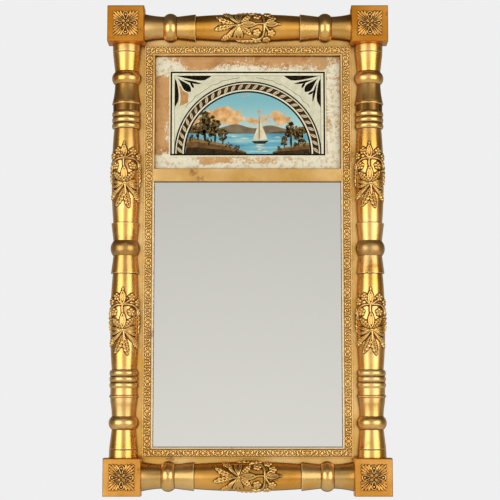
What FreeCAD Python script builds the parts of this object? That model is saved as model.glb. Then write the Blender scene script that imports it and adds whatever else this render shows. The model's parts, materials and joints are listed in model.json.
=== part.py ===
import FreeCAD, Part
import math
import os
import Sketcher

# A wall mirror with a painted glass tablet above the looking glass, in a gilded frame of
# split turned balusters and square corner blocks.
# Frame of reference: X to the right, Z up from mid height, Y from the front to the wall.
# The wall is the plane Y = 0, so everything lies at negative Y.

# Driving dimensions in millimetres
SIZES = {
    # whole object and corner blocks
    "overall_height": 914,
    "overall_width": 528,
    "block_side": 69,
    "block_depth": 40,
    "block_bevel": 1.5,
    # back frame and backboards
    "frame_thickness": 22,
    "frame_setback": 16.5,
    "backboard_thickness": 8,
    "backboard_lap": 20,
    "backboard_gap": 1,
    # moulding round the glass and its ornament strip
    "moulding_width": 19,
    "moulding_height": 7,
    "moulding_lip": 8,
    "bead_width": 2.2,
    "bead_height": 5,
    "fillet_width": 3.2,
    "band_height": 3,
    "strip_relief": 3,
    "strip_edge": 1.2,
    "strip_clearance": 0.3,
    # divider bar between the two panes
    "divider_middle": 139,
    "divider_width": 24.4,
    "divider_rise": 9,
    "divider_round": 1.2,
    "web_thickness": 9,
    "tenon_length": 6,
    # panes
    "glass_thickness": 3,
    "glass_clearance": 1,
    "paint_thickness": 0.4,
    "glazing_length": 40,
    "glazing_width": 7,
    # radii shared by the turned balusters
    "collar_radius": 27,
    "cup_radius": 26.5,
    "waist_radius": 22.2,
    "torus_radius": 28,
    "middle_torus_radius": 27.5,
    "ring_radius": 27.4,
    "band_radius": 25.4,
    "reed_radius": 27.2,
    "reed_root_radius": 25.2,
    "neck_radius": 23,
    "bulge_radius": 26.8,
    # lengths along the side balusters
    "collar_length": 15,
    "groove_width": 1.6,
    "groove_depth": 1.2,
    "cup_length": 36.6,
    "torus_width": 24,
    "bell_length": 34.8,
    "bell_hollow": 0.9,
    "ring_width": 4.5,
    "band_length": 12.8,
    "reed_width": 11.1,
    "rim_cup_length": 33.4,
    "middle_torus_width": 28,
    # lengths along the rail balusters
    "rail_bell_length": 36.3,
    "rail_cup_length": 35.9,
    # leaf ornaments on the balusters
    "leaf_relief": 2.6,
    "side_leaf_margin": 25,
    "rail_leaf_margin": 34,
    # rosettes on the corner blocks
    "rosette_side": 49,
    "rosette_plate": 1.2,
    "rosette_boss_radius": 5.2,
    "rosette_boss_height": 4,
    "rosette_eye_radius": 2.6,
    "rosette_eye_depth": 1.4,
    "petal_length": 19.6,
    "petal_half_width": 7,
    "petal_height": 3.2,
    "corner_leaf_length": 27.6,
    "corner_leaf_half_width": 5.5,
    "corner_leaf_height": 2.6,
    # wood screws, pegs and nails
    "screw_radius": 2,
    "screw_head_radius": 4,
    "screw_head_height": 2.4,
    "screw_bite": 16,
    "side_screw_pitch": 280,
    "rail_screw_pitch": 180,
    "corner_fixing_offset": 12,
    "peg_radius": 3.5,
    "nail_radius": 0.9,
    "nail_head_radius": 2.2,
    "nail_head_thickness": 0.8,
    "nail_length": 20,
    "nail_inset": 10,
    "nail_set": 0.3,
    # hangers on the back of the stiles
    "hanger_height": 230,
    "hanger_axis_lift": 4,
    "hanger_strap_width": 12,
    "hanger_strap_length": 40,
    "hanger_strap_thickness": 1.5,
    "hanger_barrel_radius": 2.7,
    "hanger_ring_clearance": 0.1,
    "hanger_wire_radius": 1.2,
    "hanger_ring_half_width": 11,
    "hanger_ring_corner": 2.5,
    "hanger_ring_side": 6,
    "hanger_screw_radius": 1.6,
    "hanger_screw_head_radius": 3,
    "hanger_screw_head_height": 1.2,
    "hanger_screw_length": 14,
    "hanger_screw_first": 14,
    "hanger_screw_pitch": 16,
    # how far cutting shapes pass the faces that they cut
    "overrun": 2,
}

# Counts and angles
REED_COUNT = 3
PETAL_COUNT = 4
HANGER_SCREW_COUNT = 2
FULL_TURN = 360
HALF_TURN = 180
QUARTER_TURN = 90
LEAF_WRAP_DEGREES = 164

# Plain shares: a middle, a step along a diagonal, and the rise of a quarter arc in its radius
MIDDLE_SHARE = 0.5
DIAGONAL_SHARE = math.sqrt(MIDDLE_SHARE)
QUARTER_ARC_RISE_SHARE = 1 - DIAGONAL_SHARE

# Outline of a leaf ornament from its bud down to its lowest leaf, one half: across as a share
# of the ornament's own radius, up as a share of its length.
LEAF_OUTLINE_SHARES = (
    (0.20, 0.93),
    (0.52, 0.96),
    (0.68, 0.87),
    (0.52, 0.79),
    (0.94, 0.72),
    (1.06, 0.58),
    (0.72, 0.49),
    (0.44, 0.40),
    (0.66, 0.31),
    (1.06, 0.26),
    (1.02, 0.14),
    (0.62, 0.11),
    (0.42, 0.02),
    (0.16, 0.06),
)

# Heights of the nails along the sides of a backboard, and places along its end, as shares
SIDE_NAIL_SHARES = (0.06, 0.36, 0.66, 0.94)
END_NAIL_SHARES = (0.25, 0.5, 0.75)

# Places of the glazing blocks along a pane's side and along its end, as shares
SIDE_GLAZING_SHARES = (0.2, 0.5, 0.8)
END_GLAZING_SHARES = (0.3, 0.7)


class Length:
    """A length as a formula of the sheet's cells, and the value that it has now."""

    def __init__(self, formula, value):
        self.formula = formula
        self.value = value

    def joined(self, sign, other, value):
        return Length(f"({self.formula} {sign} {as_length(other).formula})", value)

    def __add__(self, other):
        return self.joined("+", other, self.value + as_length(other).value)

    def __sub__(self, other):
        return self.joined("-", other, self.value - as_length(other).value)

    def __mul__(self, other):
        return self.joined("*", other, self.value * as_length(other).value)

    def __truediv__(self, other):
        return self.joined("/", other, self.value / as_length(other).value)

    def __neg__(self):
        return Length(f"(-{self.formula})", -self.value)


def as_length(number):
    if isinstance(number, Length):
        return number
    return Length(repr(number), number)


class SheetSizes:
    """Gives each cell of the sheet, by its alias, as a Length."""

    def __getattr__(self, alias):
        return Length(f"sizes.{alias}", float(SIZES[alias]))


doc = FreeCAD.newDocument("mirror")
size = SheetSizes()
NOTHING = as_length(0)
nodes = {}


def fill_sheet():
    sheet = doc.addObject("Spreadsheet::Sheet", "sizes")
    for row, (alias, value) in enumerate(SIZES.items(), start=1):
        sheet.set(f"A{row}", alias)
        sheet.set(f"B{row}", str(value))
        sheet.setAlias(f"B{row}", alias)
    doc.recompute()


fill_sheet()

# Main planes and axes, all worked out from the sheet
half_height = size.overall_height / 2
half_width = size.overall_width / 2
span_x = half_width - size.block_side
span_z = half_height - size.block_side
axis_x = half_width - size.block_side / 2
axis_z = half_height - size.block_side / 2
frame_back = -size.backboard_thickness
base_plane = frame_back - size.frame_thickness
block_front = base_plane - size.block_depth
outer_x = half_width - size.frame_setback
outer_z = half_height - size.frame_setback
sight_x = span_x - size.moulding_width
sight_z = span_z - size.moulding_width
inner_x = sight_x + size.moulding_lip
inner_z = sight_z + size.moulding_lip
glass_back = base_plane + size.glass_thickness
paint_back = glass_back + size.paint_thickness
web_low = size.divider_middle - size.web_thickness / 2
web_high = size.divider_middle + size.web_thickness / 2
board_x = inner_x + size.backboard_lap
board_z = inner_z + size.backboard_lap
hanger_x = (board_x + outer_x) / 2
hanger_axis_y = frame_back + size.hanger_axis_lift
strap_face = frame_back + size.hanger_strap_thickness

# Stretches along the balusters, measured from the block
cup_end = size.collar_length + size.cup_length
torus_end = cup_end + size.torus_width
bell_end = torus_end + size.bell_length
ring_end = bell_end + size.ring_width
band_end = ring_end + size.band_length
reeds_end = band_end + size.reed_width * REED_COUNT
rim_place = span_z - size.middle_torus_width / 2 - size.rim_cup_length
side_vase_length = rim_place - reeds_end
side_vase_middle = span_z - reeds_end - side_vase_length / 2
rail_torus_end = size.rail_bell_length + size.torus_width
rail_rim_place = rail_torus_end + size.rail_cup_length
rail_vase_length = (span_x - rail_rim_place) * 2
vase_rise = size.bulge_radius - size.neck_radius

SIDES = {"left": -1, "right": 1}
LEVELS = {"top": 1, "bottom": -1}
CORNERS = [(level, side) for level in LEVELS for side in SIDES]


# Helpers that make and bind shapes

def bind(thing, name, length):
    thing.setExpression(name, as_length(length).formula)


def put(thing, x, y, z):
    for letter, place in (("x", x), ("y", y), ("z", z)):
        bind(thing, f"Placement.Base.{letter}", place)


def turned(axis, degrees):
    return FreeCAD.Placement(FreeCAD.Vector(), FreeCAD.Rotation(axis, degrees))


def pair(one, other):
    return (one, other) if one.value < other.value else (other, one)


def node(thing, name):
    thing.Label = name
    nodes[name] = thing
    return thing


def box(name, x, y, z):
    """A box from its (low, high) pairs along the three axes."""
    piece = doc.addObject("Part::Box", name)
    for edge, (low, high) in (("Length", x), ("Width", y), ("Height", z)):
        bind(piece, edge, high - low)
    put(piece, x[0], y[0], z[0])
    return piece


def pin(name, radius, x, y, z, length):
    """A round pin that starts at y and runs towards the front."""
    piece = doc.addObject("Part::Cylinder", name)
    piece.Placement = turned(FreeCAD.Vector(1, 0, 0), QUARTER_TURN)
    bind(piece, "Radius", radius)
    bind(piece, "Height", length)
    put(piece, x, y, z)
    return piece


def cross_rod(name, radius, x, y, z):
    """A round rod along X between the pair x."""
    piece = doc.addObject("Part::Cylinder", name)
    piece.Placement = turned(FreeCAD.Vector(0, 1, 0), QUARTER_TURN)
    bind(piece, "Radius", radius)
    bind(piece, "Height", x[1] - x[0])
    put(piece, x[0], y, z)
    return piece


def group(name, pieces):
    together = doc.addObject("Part::Compound", name)
    together.Links = pieces
    return together


def fused(name, pieces):
    together = doc.addObject("Part::MultiFuse", name)
    together.Shapes = pieces
    return together


def cut(name, base, tool):
    result = doc.addObject("Part::Cut", name)
    result.Base = base
    result.Tool = tool
    return result


def new_sketch(body, name, role, offset=NOTHING):
    """A sketch on one of the body's own planes, moved along the plane's normal."""
    sketch = body.newObject("Sketcher::SketchObject", name)
    plane = [feature for feature in body.Origin.OriginFeatures if feature.Role == role][0]
    sketch.AttachmentSupport = [(plane, "")]
    sketch.MapMode = "FlatFace"
    bind(sketch, "AttachmentOffset.Base.z", offset)
    return sketch


def arc_middle(start, end, rise, side):
    """The middle of an arc of the given rise, to the left or right of the way from start to end."""
    chord = end - start
    across = FreeCAD.Vector(-chord.y, chord.x, 0)
    across.normalize()
    reach = rise.value if side == "left" else -rise.value
    return (start + end) / 2 + across * reach


def arc_radius(start, end, rise):
    run_x = end[0] - start[0]
    run_y = end[1] - start[1]
    return ((run_x * run_x + run_y * run_y) / 4 + rise * rise) / (rise * 2)


def tie_point(sketch, place, x, y):
    """Ties a point of the sketch to its two formulas."""
    for kind, length, axis in (("DistanceX", x, -2), ("DistanceY", y, -1)):
        if length is NOTHING:
            sketch.addConstraint(Sketcher.Constraint("PointOnObject", *place, axis))
            continue
        number = sketch.addConstraint(Sketcher.Constraint(kind, -1, 1, *place, length.value))
        bind(sketch, f"Constraints[{number}]", length)


def draw(sketch, corners):
    """Draws a closed outline. A corner is (x, y), or (x, y, side, rise) where an arc leads to it."""
    first = sketch.GeometryCount
    points = [FreeCAD.Vector(corner[0].value, corner[1].value, 0) for corner in corners]
    ends = []
    for step, corner in enumerate(corners):
        start, end = points[step - 1], points[step]
        if len(corner) == 2:
            sketch.addGeometry(Part.LineSegment(start, end))
            ends.append((1, 2))
            continue
        side, rise = corner[2:]
        sketch.addGeometry(Part.Arc(start, arc_middle(start, end, rise, side), end))
        ends.append((2, 1) if side == "left" else (1, 2))
    for step, corner in enumerate(corners):
        here = (first + step, ends[step][1])
        following = (step + 1) % len(corners)
        after = (first + following, ends[following][0])
        sketch.addConstraint(Sketcher.Constraint("Coincident", *here, *after))
        tie_point(sketch, here, corner[0], corner[1])
    for step, corner in enumerate(corners):
        if len(corner) > 2:
            radius = arc_radius(corners[step - 1], corner, corner[3])
            number = sketch.addConstraint(Sketcher.Constraint("Radius", first + step, radius.value))
            bind(sketch, f"Constraints[{number}]", radius)


def draw_circle(sketch, radius):
    number = sketch.addGeometry(Part.Circle(FreeCAD.Vector(), FreeCAD.Vector(0, 0, 1), radius.value))
    sketch.addConstraint(Sketcher.Constraint("Coincident", number, 3, -1, 1))
    constraint = sketch.addConstraint(Sketcher.Constraint("Radius", number, radius.value))
    bind(sketch, f"Constraints[{constraint}]", radius)


def pad(body, sketch, length, symmetric=False):
    feature = body.newObject("PartDesign::Pad", sketch.Name + "_pad")
    feature.Profile = sketch
    if symmetric:
        feature.SideType = "Symmetric"
    bind(feature, "Length", length)
    return feature


def pocket_through(body, sketch):
    feature = body.newObject("PartDesign::Pocket", sketch.Name + "_pocket")
    feature.Profile = sketch
    feature.SideType = "Symmetric"
    feature.Type = "ThroughAll"
    return feature


def revolve(body, sketch, degrees):
    """Turns a sketch about the body's Z axis, to both sides of the sketch's own plane."""
    feature = body.newObject("PartDesign::Revolution", sketch.Name + "_turned")
    feature.Profile = sketch
    feature.ReferenceAxis = (sketch, ["V_Axis"])
    feature.Midplane = True
    feature.Angle = degrees
    return feature


# Fasteners

def screw(name, x, y, z, length, kind):
    """A countersunk screw whose head is flush at y. The kind picks its sizes in the sheet."""
    shank_radius = getattr(size, f"{kind}_radius")
    head = doc.addObject("Part::Cone", name + "_head")
    head.Placement = turned(FreeCAD.Vector(1, 0, 0), QUARTER_TURN)
    bind(head, "Radius1", getattr(size, f"{kind}_head_radius"))
    bind(head, "Radius2", shank_radius)
    bind(head, "Height", getattr(size, f"{kind}_head_height"))
    put(head, x, y, z)
    shank = pin(name + "_shank", shank_radius, x, y, z, length)
    return fused(name, [head, shank])


def nail(name, x, z):
    """A board nail whose head is set just below the back of the backboard."""
    top = -size.nail_set
    head = pin(name + "_head", size.nail_head_radius, x, top, z, size.nail_head_thickness)
    shank = pin(name + "_shank", size.nail_radius, x, top, z, size.nail_length)
    return fused(name, [head, shank])


def frame_screw(name, x, z):
    """A screw from the back of the frame into what sits on its front."""
    return screw(name, x, frame_back, z, size.frame_thickness + size.screw_bite, "screw")


def make_baluster_screws():
    screws = {}
    for side, sign in SIDES.items():
        places = (-size.side_screw_pitch, NOTHING, size.side_screw_pitch)
        screws[side] = [frame_screw(f"screw_{side}_{number}", axis_x * sign, place)
                        for number, place in enumerate(places)]
    for level, sign in LEVELS.items():
        places = (-size.rail_screw_pitch / 2, size.rail_screw_pitch / 2)
        screws[level] = [frame_screw(f"screw_{level}_{number}", place, axis_z * sign)
                         for number, place in enumerate(places)]
    return screws


def make_corner_fixings():
    """Two screws into each corner block and two pegs through each corner lap."""
    screws = {}
    pegs = {}
    middle_x = (inner_x + outer_x) / 2
    middle_z = (inner_z + outer_z) / 2
    for level, side in CORNERS:
        corner = f"{level}_{side}"
        screws[corner] = []
        pegs[corner] = []
        for number in (-1, 1):
            step = size.corner_fixing_offset * number
            x = (middle_x + step) * SIDES[side]
            screw_z = (middle_z + step) * LEVELS[level]
            peg_z = (middle_z - step) * LEVELS[level]
            ending = f"{corner}_{number + 1}"
            peg = pin(f"peg_{ending}", size.peg_radius, x, frame_back, peg_z, size.frame_thickness)
            pegs[corner].append(peg)
            screws[corner].append(frame_screw(f"block_screw_{ending}", x, screw_z))
    return screws, pegs


def make_nails():
    """Nails down the sides and along the far end of both backboards."""
    nails = {level: [] for level in LEVELS}
    side_x = board_x - size.nail_inset
    for level, sign in LEVELS.items():
        reach = board_z * sign - size.divider_middle
        for side, hand in SIDES.items():
            for number, share in enumerate(SIDE_NAIL_SHARES):
                z = size.divider_middle + reach * share
                nails[level].append(nail(f"nail_{level}_{side}_{number}", side_x * hand, z))
        for number, share in enumerate(END_NAIL_SHARES):
            x = board_x * (share * 2 - 1)
            nails[level].append(nail(f"nail_{level}_end_{number}", x, (board_z - size.nail_inset) * sign))
    return nails


def make_hanger_screws():
    screws = {}
    for side, sign in SIDES.items():
        screws[side] = []
        for number in range(HANGER_SCREW_COUNT):
            z = size.hanger_height - size.hanger_screw_first - size.hanger_screw_pitch * number
            name = f"hanger_screw_{side}_{number}"
            screws[side].append(screw(name, hanger_x * sign, strap_face, z, size.hanger_screw_length,
                                      "hanger_screw"))
    return screws


def every(groups):
    return [piece for pieces in groups.values() for piece in pieces]


# Back frame

def make_stile(side, holes):
    sign = SIDES[side]
    edges = pair(inner_x * sign, outer_x * sign)
    tenon = pair(inner_x * sign, (inner_x + size.tenon_length) * sign)
    depth = (base_plane, frame_back)
    front_half = (base_plane, base_plane + size.frame_thickness / 2)
    board = box(f"stile_{side}_board", edges, depth, (-outer_z, outer_z))
    waste = [
        box(f"stile_{side}_lap_top", edges, front_half, (inner_z, outer_z)),
        box(f"stile_{side}_lap_bottom", edges, front_half, (-outer_z, -inner_z)),
        box(f"stile_{side}_mortise", tenon, depth, (web_low, web_high)),
    ]
    shaped = cut(f"stile_{side}_shaped", board, group(f"stile_{side}_waste", waste))
    node(cut(f"stile_{side}", shaped, group(f"stile_{side}_holes", holes)), f"stile_{side}")


def make_rail(level, holes):
    sign = LEVELS[level]
    edges = pair(inner_z * sign, outer_z * sign)
    back_half = (base_plane + size.frame_thickness / 2, frame_back)
    board = box(f"{level}_rail_board", (-outer_x, outer_x), (base_plane, frame_back), edges)
    waste = [
        box(f"{level}_rail_lap_left", (-outer_x, -inner_x), back_half, edges),
        box(f"{level}_rail_lap_right", (inner_x, outer_x), back_half, edges),
    ]
    shaped = cut(f"{level}_rail_shaped", board, group(f"{level}_rail_waste", waste))
    node(cut(f"{level}_rail", shaped, group(f"{level}_rail_holes", holes)), f"{level}_rail")


# Turned balusters, split lengthwise and set flat on the frame

def mirrored(half, middle_arc):
    """The other half of a profile, joined to the first by an arc across the middle."""
    arcs = [corner[2:] for corner in half[1:]] + [middle_arc]
    return [(x, -z, *arc) for (x, z, *_), arc in zip(reversed(half), reversed(arcs))]


def side_profile():
    """Radius and height along a side baluster, from the upper block to the lower one."""
    def at(radius, along, *arc):
        return (-radius, span_z - along, *arc)

    half_groove = size.groove_width / 2
    half = [
        (NOTHING, span_z),
        at(size.collar_radius, NOTHING),
        at(size.cup_radius, size.collar_length - half_groove),
        at(size.cup_radius - size.groove_depth, size.collar_length),
        at(size.cup_radius, size.collar_length + half_groove),
        at(size.waist_radius, cup_end),
        at(size.waist_radius, torus_end, "right", size.torus_radius - size.waist_radius),
        at(size.cup_radius, bell_end, "left", size.bell_hollow),
        at(size.band_radius, bell_end),
        at(size.band_radius, ring_end, "right", size.ring_radius - size.band_radius),
        at(size.reed_root_radius, band_end),
    ]
    for number in range(REED_COUNT):
        along = band_end + size.reed_width * (number + 1)
        half.append(at(size.reed_root_radius, along, "right", size.reed_radius - size.reed_root_radius))
    half += [
        at(size.neck_radius, reeds_end),
        at(size.neck_radius, rim_place, "right", vase_rise),
        at(size.cup_radius, rim_place),
        at(size.waist_radius, rim_place + size.rim_cup_length),
    ]
    return half + mirrored(half, ("right", size.middle_torus_radius - size.waist_radius))


def rail_profile():
    """Radius and place along a rail baluster, from one block to the other."""
    def at(radius, along, *arc):
        return (-radius, span_x - along, *arc)

    half = [
        (NOTHING, span_x),
        at(size.collar_radius, NOTHING),
        at(size.waist_radius, size.rail_bell_length, "left", size.bell_hollow),
        at(size.waist_radius, rail_torus_end, "right", size.torus_radius - size.waist_radius),
        at(size.cup_radius, rail_rim_place),
        at(size.neck_radius, rail_rim_place),
    ]
    return half + mirrored(half, ("right", vase_rise))


def make_baluster(name, profile, upright, x, z, holes):
    """A half round turned about its own axis, drilled for the screws that hold it."""
    body = doc.addObject("PartDesign::Body", f"{name}_turning")
    sketch = new_sketch(body, f"{name}_profile", "YZ_Plane")
    draw(sketch, profile)
    revolve(body, sketch, HALF_TURN)
    if not upright:
        body.Placement = turned(FreeCAD.Vector(0, 1, 0), QUARTER_TURN)
    put(body, x, base_plane, z)
    node(cut(name, body, group(f"{name}_holes", holes)), name)


def make_balusters(screws):
    for side, sign in SIDES.items():
        make_baluster(f"baluster_{side}", side_profile(), True, axis_x * sign, NOTHING, screws[side])
    for level, sign in LEVELS.items():
        make_baluster(f"baluster_{level}", rail_profile(), False, NOTHING, axis_z * sign, screws[level])


# Leaf ornaments that wrap round the swelling of the balusters

def leaf_outline(length):
    reach = size.bulge_radius + size.leaf_relief
    right = [(reach * across, length * (up - MIDDLE_SHARE)) for across, up in LEAF_OUTLINE_SHARES]
    left = [(-x, z) for x, z in reversed(right)]
    return [(NOTHING, length / 2)] + right + [(NOTHING, -length / 2)] + left


def make_leaf(name, vase_length, margin, upright, x, z):
    body = doc.addObject("PartDesign::Body", name)
    half = vase_length / 2
    outer_neck = size.neck_radius + size.leaf_relief
    shell = new_sketch(body, f"{name}_shell", "YZ_Plane")
    draw(shell, [
        (-size.neck_radius, half),
        (-size.neck_radius, -half, "right", vase_rise),
        (-outer_neck, -half),
        (-outer_neck, half, "left", vase_rise),
    ])
    revolve(body, shell, LEAF_WRAP_DEGREES)
    waste = new_sketch(body, f"{name}_outline", "XZ_Plane")
    clear_x = size.bulge_radius * 2
    clear_z = half + size.overrun
    draw(waste, [(-clear_x, -clear_z), (clear_x, -clear_z), (clear_x, clear_z), (-clear_x, clear_z)])
    draw(waste, leaf_outline(vase_length - margin * 2))
    pocket_through(body, waste)
    if not upright:
        body.Placement = turned(FreeCAD.Vector(0, 1, 0), QUARTER_TURN)
    put(body, x, base_plane, z)
    node(body, name)


def make_leaves():
    for side, sign in SIDES.items():
        for place, level in (("upper", 1), ("lower", -1)):
            make_leaf(f"leaf_ornament_{side}_{place}", side_vase_length, size.side_leaf_margin, True,
                      axis_x * sign, side_vase_middle * level)
    for level, sign in LEVELS.items():
        make_leaf(f"leaf_ornament_{level}", rail_vase_length, size.rail_leaf_margin, False,
                  NOTHING, axis_z * sign)


# Corner blocks and their rosettes

def draw_square(sketch, half):
    draw(sketch, [(-half, -half), (half, -half), (half, half), (-half, half)])


def front_face(feature):
    faces = feature.Shape.Faces
    front = min(range(len(faces)), key=lambda number: faces[number].CenterOfMass.y)
    return f"Face{front + 1}"


def make_block(corner, x, z, holes):
    name = f"corner_block_{corner}"
    body = doc.addObject("PartDesign::Body", f"{name}_wood")
    sketch = new_sketch(body, f"{name}_square", "XZ_Plane")
    draw_square(sketch, size.block_side / 2)
    wood = pad(body, sketch, size.block_depth)
    doc.recompute()
    bevel = body.newObject("PartDesign::Chamfer", f"{name}_bevel")
    bevel.Base = (wood, [front_face(wood)])
    bind(bevel, "Size", size.block_bevel)
    put(body, x, base_plane, z)
    node(cut(name, body, group(f"{name}_holes", holes)), name)


def make_rosette(corner, x, z):
    """A square cast plate with four petals, four corner leaves and a ringed boss."""
    name = f"rosette_{corner}"
    body = doc.addObject("PartDesign::Body", name)
    plate = new_sketch(body, f"{name}_plate", "XZ_Plane")
    draw_square(plate, size.rosette_side / 2)
    pad(body, plate, size.rosette_plate)
    root = size.rosette_eye_radius
    tip = root + size.petal_length
    width = size.petal_half_width
    petal = new_sketch(body, f"{name}_petal", "XZ_Plane")
    draw(petal, [(NOTHING, root, "right", width), (NOTHING, tip, "right", width)])
    petal_pad = pad(body, petal, size.petal_height)
    leaf_root = root * DIAGONAL_SHARE
    leaf_tip = (root + size.corner_leaf_length) * DIAGONAL_SHARE
    width = size.corner_leaf_half_width
    leaf = new_sketch(body, f"{name}_leaf", "XZ_Plane")
    draw(leaf, [(leaf_root, leaf_root, "right", width), (leaf_tip, leaf_tip, "right", width)])
    leaf_pad = pad(body, leaf, size.corner_leaf_height)
    ring = body.newObject("PartDesign::PolarPattern", f"{name}_ring")
    ring.Originals = [petal_pad, leaf_pad]
    ring.Axis = (plate, ["N_Axis"])
    ring.Angle = FULL_TURN
    ring.Occurrences = PETAL_COUNT
    body.Tip = ring
    boss = new_sketch(body, f"{name}_boss", "XZ_Plane")
    draw_circle(boss, size.rosette_boss_radius)
    pad(body, boss, size.rosette_boss_height)
    eye = new_sketch(body, f"{name}_eye", "XZ_Plane", size.rosette_boss_height)
    draw_circle(eye, size.rosette_eye_radius)
    hollow = body.newObject("PartDesign::Pocket", f"{name}_hollow")
    hollow.Profile = eye
    bind(hollow, "Length", size.rosette_eye_depth)
    put(body, x, block_front, z)
    node(body, name)


def make_corners(block_screws):
    for level, side in CORNERS:
        corner = f"{level}_{side}"
        x = axis_x * SIDES[side]
        z = axis_z * LEVELS[level]
        make_block(corner, x, z, block_screws[corner])
        make_rosette(corner, x, z)


# Mitred moulding with its ornament strip

def mitred_bar(name, half_length, outer, inner, back, front):
    """A bar with mitred ends. Its edges are measured inwards from the moulding's outer edge."""
    body = doc.addObject("PartDesign::Body", name)
    sketch = new_sketch(body, f"{name}_front", "XZ_Plane", back)
    draw(sketch, [
        (outer - half_length, -outer),
        (inner - half_length, -inner),
        (half_length - inner, -inner),
        (half_length - outer, -outer),
    ])
    pad(body, sketch, front - back)
    return body


def make_moulding(name, half_length):
    width = size.moulding_width
    body = mitred_bar(name, half_length, NOTHING, width, NOTHING, size.moulding_height)
    waste = new_sketch(body, f"{name}_section", "YZ_Plane")
    clear = size.moulding_height + size.overrun
    fillet = width - size.fillet_width
    draw(waste, [
        (-clear, size.overrun),
        (-size.bead_height, size.overrun),
        (-size.bead_height, -size.bead_width),
        (-size.band_height, -size.bead_width),
        (-size.band_height, -fillet),
        (-clear, -fillet),
    ])
    pocket_through(body, waste)
    return body


def make_strip(name, half_length):
    outer = size.bead_width + size.strip_clearance
    inner = size.moulding_width - size.fillet_width - size.strip_clearance
    edge = size.band_height + size.strip_edge
    front = size.band_height + size.strip_relief
    body = mitred_bar(name, half_length, outer, inner, size.band_height, front)
    waste = new_sketch(body, f"{name}_section", "YZ_Plane")
    clear = front + size.overrun
    draw(waste, [
        (-edge, -outer),
        (-edge, -inner, "right", size.strip_relief - size.strip_edge),
        (-clear, -inner),
        (-clear, -outer),
    ])
    pocket_through(body, waste)
    return body


def make_mouldings():
    """The four sides, each the same bar turned about Y so that its outer edge faces out."""
    edges = {
        "top": (0, span_x, NOTHING, span_z),
        "right": (1, span_z, span_x, NOTHING),
        "bottom": (2, span_x, NOTHING, -span_z),
        "left": (3, span_z, -span_x, NOTHING),
    }
    for edge, (turns, half_length, x, z) in edges.items():
        for kind, make in (("moulding", make_moulding), ("ornament_strip", make_strip)):
            body = make(f"{kind}_{edge}", half_length)
            body.Placement = turned(FreeCAD.Vector(0, 1, 0), turns * QUARTER_TURN)
            put(body, x, base_plane, z)
            node(body, f"{kind}_{edge}")


# Divider bar: a front face between the panes and a web tenoned into the stiles

def make_divider():
    body = doc.addObject("PartDesign::Body", "divider_bar")
    half = size.divider_width / 2
    rise = size.divider_rise
    ease = size.divider_round
    ease_rise = ease * QUARTER_ARC_RISE_SHARE
    face = new_sketch(body, "divider_face", "YZ_Plane")
    draw(face, [
        (NOTHING, half),
        (NOTHING, -half),
        (ease - rise, -half),
        (-rise, ease - half, "left", ease_rise),
        (-rise, half - ease),
        (ease - rise, half, "left", ease_rise),
    ])
    pad(body, face, sight_x * 2, symmetric=True)
    web = new_sketch(body, "divider_web", "YZ_Plane")
    half_web = size.web_thickness / 2
    back = size.frame_thickness
    draw(web, [(NOTHING, -half_web), (back, -half_web), (back, half_web), (NOTHING, half_web)])
    pad(body, web, (inner_x + size.tenon_length) * 2, symmetric=True)
    put(body, NOTHING, base_plane, size.divider_middle)
    node(body, "divider_bar")


# Panes, the blocks that hold them, and the backboards

def make_panes():
    across = (size.glass_clearance - inner_x, inner_x - size.glass_clearance)
    tablet = (web_high + size.glass_clearance, inner_z - size.glass_clearance)
    mirror = (size.glass_clearance - inner_z, web_low - size.glass_clearance)
    glass = (base_plane, glass_back)
    node(box("tablet_glass", across, glass, tablet), "tablet_glass")
    node(box("reverse_painting", across, (glass_back, paint_back), tablet), "reverse_painting")
    node(box("mirror_plate", across, glass, mirror), "mirror_plate")


def make_glazing_blocks():
    """Short blocks glued round the rebate, behind the panes."""
    blocks = []
    half = size.glazing_length / 2
    width = size.glazing_width
    panes = {"tablet": (web_high, inner_z, paint_back), "mirror": (-inner_z, web_low, glass_back)}
    for pane, (low, high, front) in panes.items():
        depth = (front, frame_back)
        for number, share in enumerate(SIDE_GLAZING_SHARES):
            middle = low + (high - low) * share
            for side, sign in SIDES.items():
                x = pair(inner_x * sign, (inner_x - width) * sign)
                name = f"glazing_{pane}_{side}_{number}"
                blocks.append(box(name, x, depth, (middle - half, middle + half)))
        for number, share in enumerate(END_GLAZING_SHARES):
            middle = inner_x * (share * 2 - 1)
            x = (middle - half, middle + half)
            blocks.append(box(f"glazing_{pane}_low_{number}", x, depth, (low, low + width)))
            blocks.append(box(f"glazing_{pane}_high_{number}", x, depth, (high - width, high)))
    node(group("glazing_blocks", blocks), "glazing_blocks")


def make_backboards(nails):
    half_gap = size.backboard_gap / 2
    heights = {
        "top": ("backboard_upper", (size.divider_middle + half_gap, board_z)),
        "bottom": ("backboard_lower", (-board_z, size.divider_middle - half_gap)),
    }
    for level, (name, height) in heights.items():
        board = box(f"{name}_board", (-board_x, board_x), (frame_back, NOTHING), height)
        node(cut(name, board, group(f"{name}_holes", nails[level])), name)


# Hangers: a strap screwed to each stile, rolled round the bar of a ring

def make_hanger_plate(side, screws):
    middle = hanger_x * SIDES[side]
    half = size.hanger_strap_width / 2
    x = (middle - half, middle + half)
    top = size.hanger_height
    name = f"hanger_plate_{side}"
    pieces = [
        box(f"{name}_strap", x, (frame_back, strap_face), (top - size.hanger_strap_length, top)),
        box(f"{name}_cheek", x, (frame_back, hanger_axis_y), (top - size.hanger_barrel_radius, top)),
        cross_rod(f"{name}_barrel", size.hanger_barrel_radius, x, hanger_axis_y, top),
    ]
    bore_radius = size.hanger_wire_radius + size.hanger_ring_clearance
    bore = cross_rod(f"{name}_bore", bore_radius, x, hanger_axis_y, top)
    drilled = cut(f"{name}_drilled", fused(f"{name}_blank", pieces), group(f"{name}_holes", screws))
    node(cut(name, drilled, bore), name)


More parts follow.
